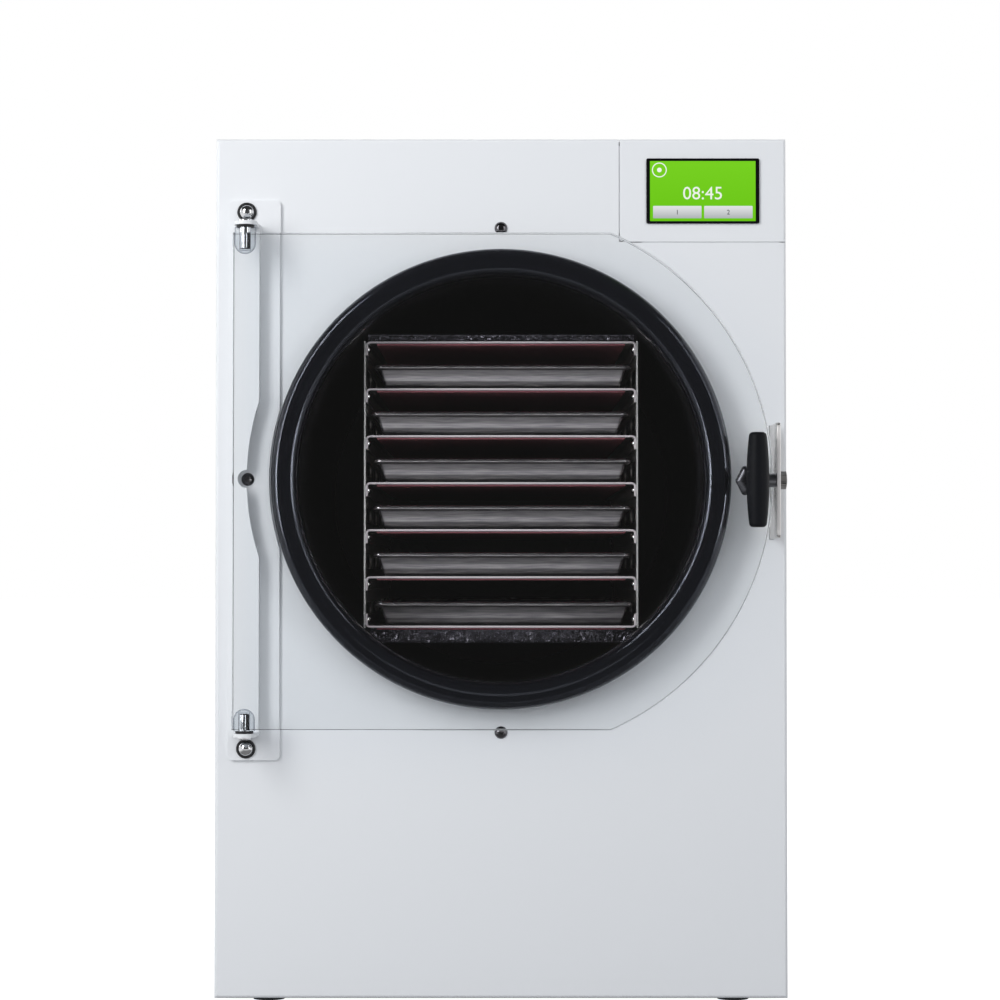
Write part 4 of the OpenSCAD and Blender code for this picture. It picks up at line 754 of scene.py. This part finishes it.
def drawn_steel_painted_light(name, low, height):
    """Brushed tray steel with light painted on in grey bands: a darker band below the rim, a painted
    highlight under it, painted shade in the turn into the floor with a pale painted reflection line in it,
    and a painted shadow under the rim. Each band is a height, as a share of the wall's, with its grey."""
    made = finish(name, "aaa7a6", 0.36, {"Metallic": 1.0})
    grain(made, 0.0011, (0.3, 0.46), 0.000008, stretch=(0.05, 0.05, 1), tint=("97949a", "bab6b9"))
    tree = made.node_tree
    shader = tree.nodes["Principled BSDF"]
    place = add(tree, "ShaderNodeTexCoord")
    axes = add(tree, "ShaderNodeSeparateXYZ", {0: place.outputs["Object"]})
    up = add(tree, "ShaderNodeMapRange", {"Value": axes.outputs["Z"], "From Min": low,
                                          "From Max": low + height})
    painted_light_bands = add(tree, "ShaderNodeValToRGB", {0: up.outputs[0]})
    # Painted light: the turn's bands are painted shade with a pale painted reflection line, the wall's a
    # painted highlight low down and darker grey above
    turn_painted_light = ((0.1, 0.3), (0.17, 0.62), (0.24, 0.35), (0.31, 0.4))
    wall_painted_light = ((0.37, 1), (0.5, 1), (0.58, 0.62), (0.82, 0.48))
    for at, grey in turn_painted_light + wall_painted_light:
        stop = painted_light_bands.color_ramp.elements.new(at)
        stop.color = (grey, grey, grey, 1)
    painted_light_bands.color_ramp.elements.remove(painted_light_bands.color_ramp.elements[0])
    painted_light_bands.color_ramp.elements[-1].position = 0.9
    painted_light_bands.color_ramp.elements[-1].color = (1, 1, 1, 1)
    # A dark band just under the rim: painted shadow of the rolled rim
    painted_rim_shadow = painted_light_bands.color_ramp.elements.new(0.87)
    painted_rim_shadow.color = (0.22, 0.22, 0.22, 1)
    brushed = shader.inputs["Base Color"].links[0].from_socket
    mixed = add(tree, "ShaderNodeMix", {0: 1.0, 6: brushed, 7: painted_light_bands.outputs[0]},
                data_type="RGBA", blend_type="MULTIPLY")
    tree.links.new(mixed.outputs[2], shader.inputs["Base Color"])
    rolled = add(tree, "ShaderNodeMapRange", {"Value": up.outputs[0], "From Min": 0.88, "From Max": 0.92,
                                              "To Min": 1.0, "To Max": 0.6})
    rough = shader.inputs["Roughness"].links[0].from_socket
    eased = add(tree, "ShaderNodeMath", {0: rough, 1: rolled.outputs[0]}, operation="MULTIPLY")
    tree.links.new(eased.outputs[0], shader.inputs["Roughness"])
    return made


rim_w, rim_bead_r, tray_corner, tray_lean, floor_r = 0.004, 0.0016, 0.007, 0.0042, 0.006
for k in range(1, 7):
    lo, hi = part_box(f"tray_{k}")
    width, length, height = hi - lo
    rise = rim_w + tray_lean * 0.04
    steps = arc((rim_bead_r, height - rim_bead_r), rim_bead_r, 300, 90, 9)
    steps += [(rim_w - 0.0011, height - 0.0002), (rim_w - 0.0003, height - 0.0009)]
    steps += [(rise, height - 0.0022)]
    steps += [(rim_w + tray_lean * 0.5, height * 0.58), (rim_w + tray_lean, floor_r)]
    steps += [(rim_w + tray_lean + floor_r - x, z) for x, z in arc((0, floor_r), floor_r, 0, -90, 6)][1:]
    part = bmesh.new()
    last = None
    for inset, z in steps:
        corner = tray_corner - min(inset, rim_w) - 0.2 * max(0.0, inset - rim_w - tray_lean)
        loop = rounded_loop(part, width - 2 * inset, length - 2 * inset, corner, z)
        if last:
            bmesh.ops.bridge_loops(part, edges=last + loop)
        last = loop
    bmesh.ops.contextual_create(part, geom=last)
    bmesh.ops.recalc_face_normals(part, faces=part.faces)
    part.faces.ensure_lookup_table()
    floor = max(part.faces, key=lambda f: len(f.verts))
    if floor.normal.z > 0:
        bmesh.ops.reverse_faces(part, faces=part.faces)
    part.transform(Matrix.Translation(((lo.x + hi.x) / 2, (lo.y + hi.y) / 2, lo.z)))
    tray_steel = drawn_steel_painted_light(f"brushed_drawn_stainless_{k}", lo.z, height)
    tray = build(f"drawn_tray_{k}", part, tray_steel, "cabinet", [f"tray_{k}"], crease=50)
    wall = tray.modifiers.new("sheet_thickness", "SOLIDIFY")
    wall.thickness = 0.0009
    wall.offset = -1

# ---- Hinge ----
# Folded and powder coated bracket with two ears, two big chromed dome screws on black washers
# into nut plates behind the sheet, and headed pins that drop through the ears.

softened("folded_hinge_bracket", "hinge_bracket", powder_white, "cabinet", 0.0014, 4)
dress(foot_rubber, "hinge_washers")

# Chrome plate: the brightest and sharpest mirror on the machine
chrome = finish("chromed_steel", "dcdde0", 0.06, {"Metallic": 1.0})
grain(chrome, 0.0009, (0.04, 0.08), 0.000001)
lo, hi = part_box("hinge_screws")
washer_r, washer_h, lip_r = 0.0087, 0.0024, 0.0016
head_r, cup_in, shank_r, shank_deep = washer_r - 0.0012, washer_r - 0.0018, 0.004, 0.012
dome_r = (head_r ** 2 + hinge_head_h ** 2) / (2 * hinge_head_h)
reach = math.degrees(math.asin(head_r / dome_r))
bm, ring = bmesh.new(), bmesh.new()
for z in (lo.z + washer_r, hi.z - washer_r):
    spot = Matrix.Translation(((lo.x + hi.x) / 2, lo.y + hinge_head_h, z)) @ facing
    dome = arc((0, hinge_head_h - dome_r), dome_r, 90 - reach, 90, 16)
    place_part(bm, lathe([(0, 0), (head_r, 0)] + dome, 96), spot)
    place_part(bm, shank(shank_r, shank_deep), spot)
    cup = [(cup_in, 0), (washer_r, 0)] + arc((washer_r - lip_r, washer_h - lip_r), lip_r, 0, 100, 8)
    place_part(ring, lathe(cup + [(cup_in, 0)], 96), spot)
build("hinge_dome_screws", bm, chrome, "cabinet", ["hinge_screws"])
build("hinge_screw_washers", ring, foot_rubber, "cabinet")

lo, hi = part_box("hinge_pins")
pin_at = Vector(((lo.x + hi.x) / 2, (lo.y + hi.y) / 2, 0))
door_lo, door_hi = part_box("door_plate")
pin_r, pin_head_r, pin_head, pin_deep = 0.00495, 0.0062, 0.002, 0.0145
tip_r, brow_r = 0.0014, 0.0012
bm = bmesh.new()
for side, foot, top in ((1, door_hi.z - pin_deep, hi.z), (-1, -(door_lo.z + pin_deep), -lo.z)):
    outline = [(0, foot)] + arc((pin_r - tip_r, foot + tip_r), tip_r, -90, 0, 5)
    outline += [(pin_r, top - pin_head), (pin_head_r, top - pin_head)]
    outline += arc((pin_head_r - brow_r, top - brow_r), brow_r, 0, 90, 6) + [(0, top)]
    part = lathe(outline, 64)
    if side < 0:
        part.transform(Matrix.Rotation(math.pi, 4, "X"))
    place_part(bm, part, Matrix.Translation(pin_at))
build("headed_hinge_pins", bm, chrome, "cabinet", ["hinge_pins"])

# ---- Door ----
# One thick plate of clear cast acrylic, IOR 1.49: a round right side with flat top and bottom,
# polished bevelled edges, and two blind pockets with clear bushings cemented into them.

door_r = door_hi.x
half_h, door_t = (door_hi.z - door_lo.z) / 2, door_hi.y - door_lo.y
door_z = (door_hi.z + door_lo.z) / 2
pocket_r, pocket_deep, edge_break = 0.00955, 0.01855, 0.0006

# Cast acrylic, flame polished: water clear, with mirrors of the room on its faces and edges
acrylic = bpy.data.materials.new("clear_cast_acrylic")
acrylic.use_nodes = True
tree = acrylic.node_tree
tree.nodes.clear()
ray = add(tree, "ShaderNodeLightPath")
shaded = add(tree, "ShaderNodeMath", {0: ray.outputs["Is Shadow Ray"], 1: ray.outputs["Is Diffuse Ray"]},
             operation="MAXIMUM")
glassy = add(tree, "ShaderNodeBsdfPrincipled", {"Base Color": tone("fdfefe"), "Roughness": 0.0, "IOR": 1.49,
                                                "Transmission Weight": 1.0})
through = add(tree, "ShaderNodeBsdfTransparent", {"Color": tone("fbfcfd")})
# The cement between plate and bushing has the plate's own index, so light crosses the joint unbent
place = add(tree, "ShaderNodeTexCoord")
axis = add(tree, "ShaderNodeVectorMath", {0: place.outputs["Object"], 1: (pin_at.x, pin_at.y, door_z)},
           operation="SUBTRACT")
axes = add(tree, "ShaderNodeSeparateXYZ", {0: axis.outputs[0]})
flat = add(tree, "ShaderNodeCombineXYZ", {0: axes.outputs["X"], 1: axes.outputs["Y"]})
across = add(tree, "ShaderNodeVectorMath", {0: flat.outputs[0]}, operation="LENGTH")
near = add(tree, "ShaderNodeMath", {0: across.outputs["Value"], 1: pocket_r + 0.0002}, operation="LESS_THAN")
height = add(tree, "ShaderNodeMath", {0: axes.outputs["Z"]}, operation="ABSOLUTE")
inner = add(tree, "ShaderNodeMath", {0: height.outputs[0], 1: half_h - 0.0001}, operation="LESS_THAN")
joint = add(tree, "ShaderNodeMath", {0: near.outputs[0], 1: inner.outputs[0]}, operation="MULTIPLY")
unbent = add(tree, "ShaderNodeMath", {0: shaded.outputs[0], 1: joint.outputs[0]}, operation="MAXIMUM")
both = add(tree, "ShaderNodeMixShader", {0: unbent.outputs[0], 1: glassy.outputs[0], 2: through.outputs[0]})
add(tree, "ShaderNodeOutputMaterial", {"Surface": both.outputs[0]})

reach = math.degrees(math.asin(half_h / door_r))
bm = bmesh.new()
rim = [bm.verts.new((x, 0, z)) for x, z in arc((0, 0), door_r, -reach, reach, 110)]
rim += [bm.verts.new((door_lo.x, 0, z)) for z in (half_h, -half_h)]
face = bm.faces.new(rim)
pulled = bmesh.ops.extrude_face_region(bm, geom=[face])["geom"]
bmesh.ops.translate(bm, verts=[v for v in pulled if isinstance(v, bmesh.types.BMVert)], vec=(0, door_t, 0))
bmesh.ops.recalc_face_normals(bm, faces=bm.faces)
edges = [e for e in bm.edges if abs(e.verts[0].co.y - e.verts[1].co.y) < 1e-6]
bmesh.ops.bevel(bm, geom=edges, offset=edge_break, segments=2, profile=0.5, affect="EDGES", material=-1)
bm.transform(Matrix.Translation((0, door_lo.y, door_z)))
door = build("acrylic_door", bm, acrylic, "door", ["door_plate"], crease=25)

# What is cut out of the plate: the ball-ended pockets and the bore of the latch
spindle_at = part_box("latch_spindle")
latch_x = (spindle_at[0].x + spindle_at[1].x) / 2
bore_r, bore_half = 0.00505, 0.03
bm = bmesh.new()
place_part(bm, lathe([(0, -bore_half), (bore_r, -bore_half), (bore_r, bore_half), (0, bore_half)], 64),
           Matrix.Translation((latch_x, (door_lo.y + door_hi.y) / 2, door_z)) @ facing)
for side in (1, -1):
    end = half_h - pocket_deep + pocket_r
    outline = arc((0, end), pocket_r, -90, 0, 16) + [(pocket_r, half_h + 0.01), (0, half_h + 0.01)]
    place_part(bm, lathe(outline, 64), Matrix.Translation((pin_at.x, pin_at.y, door_z)),
               Matrix.Rotation(0 if side > 0 else math.pi, 4, "X"))
cutter = bpy.data.objects.new("door_cutter", bpy.data.meshes.new("door_cutter"))
bm.to_mesh(cutter.data)
bm.free()
scene.collection.objects.link(cutter)
cut = door.modifiers.new("pockets_and_bore", "BOOLEAN")
cut.object = cutter
cut.solver = "EXACT"
bpy.context.view_layer.update()
carved = bpy.data.meshes.new_from_object(door.evaluated_get(bpy.context.evaluated_depsgraph_get()))
door.modifiers.clear()
door.data = carved
for polygon in carved.polygons:
    polygon.use_smooth = abs(polygon.normal.y) < 0.999 and abs(polygon.normal.z) < 0.999
bpy.data.objects.remove(cutter)

# Clear bushings, turned from rod: cemented in, they show only as a soft grey outline, painted greyer where
# their faces turn from the view in place of the light bent at their sides
bush_clear = bpy.data.materials.new("turned_clear_acrylic")
bush_clear.use_nodes = True
tree = bush_clear.node_tree
tree.nodes.clear()
turned = add(tree, "ShaderNodeLayerWeight", {"Blend": 0.5})
# Painted outline: greyer where the faces turn away from the view
painted_outline_tone = add(tree, "ShaderNodeValToRGB", {0: turned.outputs["Facing"]})
for stop, at, colour in zip(painted_outline_tone.color_ramp.elements, (0.4, 0.95), ("fcfdfe", "c3c6cb")):
    stop.position = at
    stop.color = tone(colour)
through = add(tree, "ShaderNodeBsdfTransparent", {"Color": painted_outline_tone.outputs[0]})
sheen = add(tree, "ShaderNodeBsdfGlossy", {"Color": (1, 1, 1, 1), "Roughness": 0.15})
both = add(tree, "ShaderNodeMixShader", {0: 0.03, 1: through.outputs[0], 2: sheen.outputs[0]})
add(tree, "ShaderNodeOutputMaterial", {"Surface": both.outputs[0]})
dress(bush_clear, "door_bushings")

# ---- Latch ----
# A moulded bar handle turns a blackened steel cam on a shoulder bolt. The cam slips behind a
# pin on the stainless catch plate.

# Moulded nylon with a fine etched texture: a deep satin black that hardly reflects
handle_plastic = finish("moulded_nylon_satin_black", "0e1015", 0.5,
                        {"IOR": 1.53, "Specular IOR Level": 0.13})
grain(handle_plastic, 0.0008, (0.48, 0.6), 0.00002)
dress(handle_plastic, "latch_handle")

# Black zinc on steel: dark grey metal with a soft sheen
gunmetal = finish("black_zinc_plated_steel", "55565b", 0.28, {"Metallic": 1.0})
grain(gunmetal, 0.0009, (0.22, 0.34), 0.000004)
lo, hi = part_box("latch_cam")
nose_r, shoulder_r, heel_r, cam_half = 0.0024, 0.0032, 0.0009, (hi.z - lo.z) / 2
shoulder_x, heel_x, heel_z, crown = -0.0088, 0.0016, 0.0056, 0.005
nose = [(lo.x - latch_x + nose_r, 0, nose_r)]
nose += [(shoulder_x, side * (cam_half - shoulder_r), shoulder_r) for side in (1, -1)]
nose += [(heel_x, side * heel_z, heel_r) for side in (1, -1)]
bm = bmesh.new()
edge_points = [bm.verts.new((x, 0, z)) for cx, cz, r in nose for x, z in arc((cx, cz), r, 0, 360, 40)[:-1]]
bmesh.ops.convex_hull(bm, input=edge_points)
hull = [(v.co.x, v.co.z) for v in bm.verts if v.link_faces]
outline = sorted(hull, key=lambda at: math.atan2(at[1], at[0] + crown))
bm.free()
bm = bmesh.new()
depth, last = hi.y - lo.y, None
for turn in [0, 15, 30, 44, 57, 69, 80]:
    shrink = 0.35 + 0.65 * math.cos(math.radians(turn))
    y = hi.y - depth * math.sin(math.radians(turn)) / math.sin(math.radians(80))
    places = [(latch_x - crown + (x + crown) * shrink, y, door_z + z * shrink) for x, z in outline]
    ring = [bm.verts.new(place) for place in places]
    loop = [bm.edges.new(pair) for pair in zip(ring, ring[1:] + ring[:1])]
    if last:
        bmesh.ops.bridge_loops(bm, edges=last + loop)
    else:
        bmesh.ops.contextual_create(bm, geom=loop)
    last = loop
bmesh.ops.contextual_create(bm, geom=last)
bmesh.ops.recalc_face_normals(bm, faces=bm.faces)
build("domed_latch_cam", bm, gunmetal, "latch", ["latch_cam"])
softened("strike_hexagon_nut", "strike_nut", stainless, "cabinet", 0.0006)
softened("latch_shoulder_bolt", "latch_spindle", bright_steel, "latch", 0.0005)

# The catch plate is satin polished: pale and softly shining, with its edge rounded over and a pale painted
# highlight along its front edge
satin_steel = finish("satin_polished_stainless", "dcd9d6", 0.24, {"Metallic": 1.0})
grain(satin_steel, 0.0009, (0.2, 0.3), 0.000004, tint=("d6d3d0", "e2dfdc"))
painted_edge_highlight(satin_steel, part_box("catch_plate")[0].y, 0.0019, "f4f1ef", 0.35, 0.35)
softened("stainless_catch_plate", "catch_plate", satin_steel, "cabinet", 0.0016, 5)
# Hardened and ground pin: plain grey steel
pin_steel = finish("hardened_steel_grey", "77787c", 0.36, {"Metallic": 1.0})
grain(pin_steel, 0.0009, (0.3, 0.42), 0.000004)
softened("turned_strike_pin", "strike_pin", pin_steel, "cabinet", 0.0008, 3)
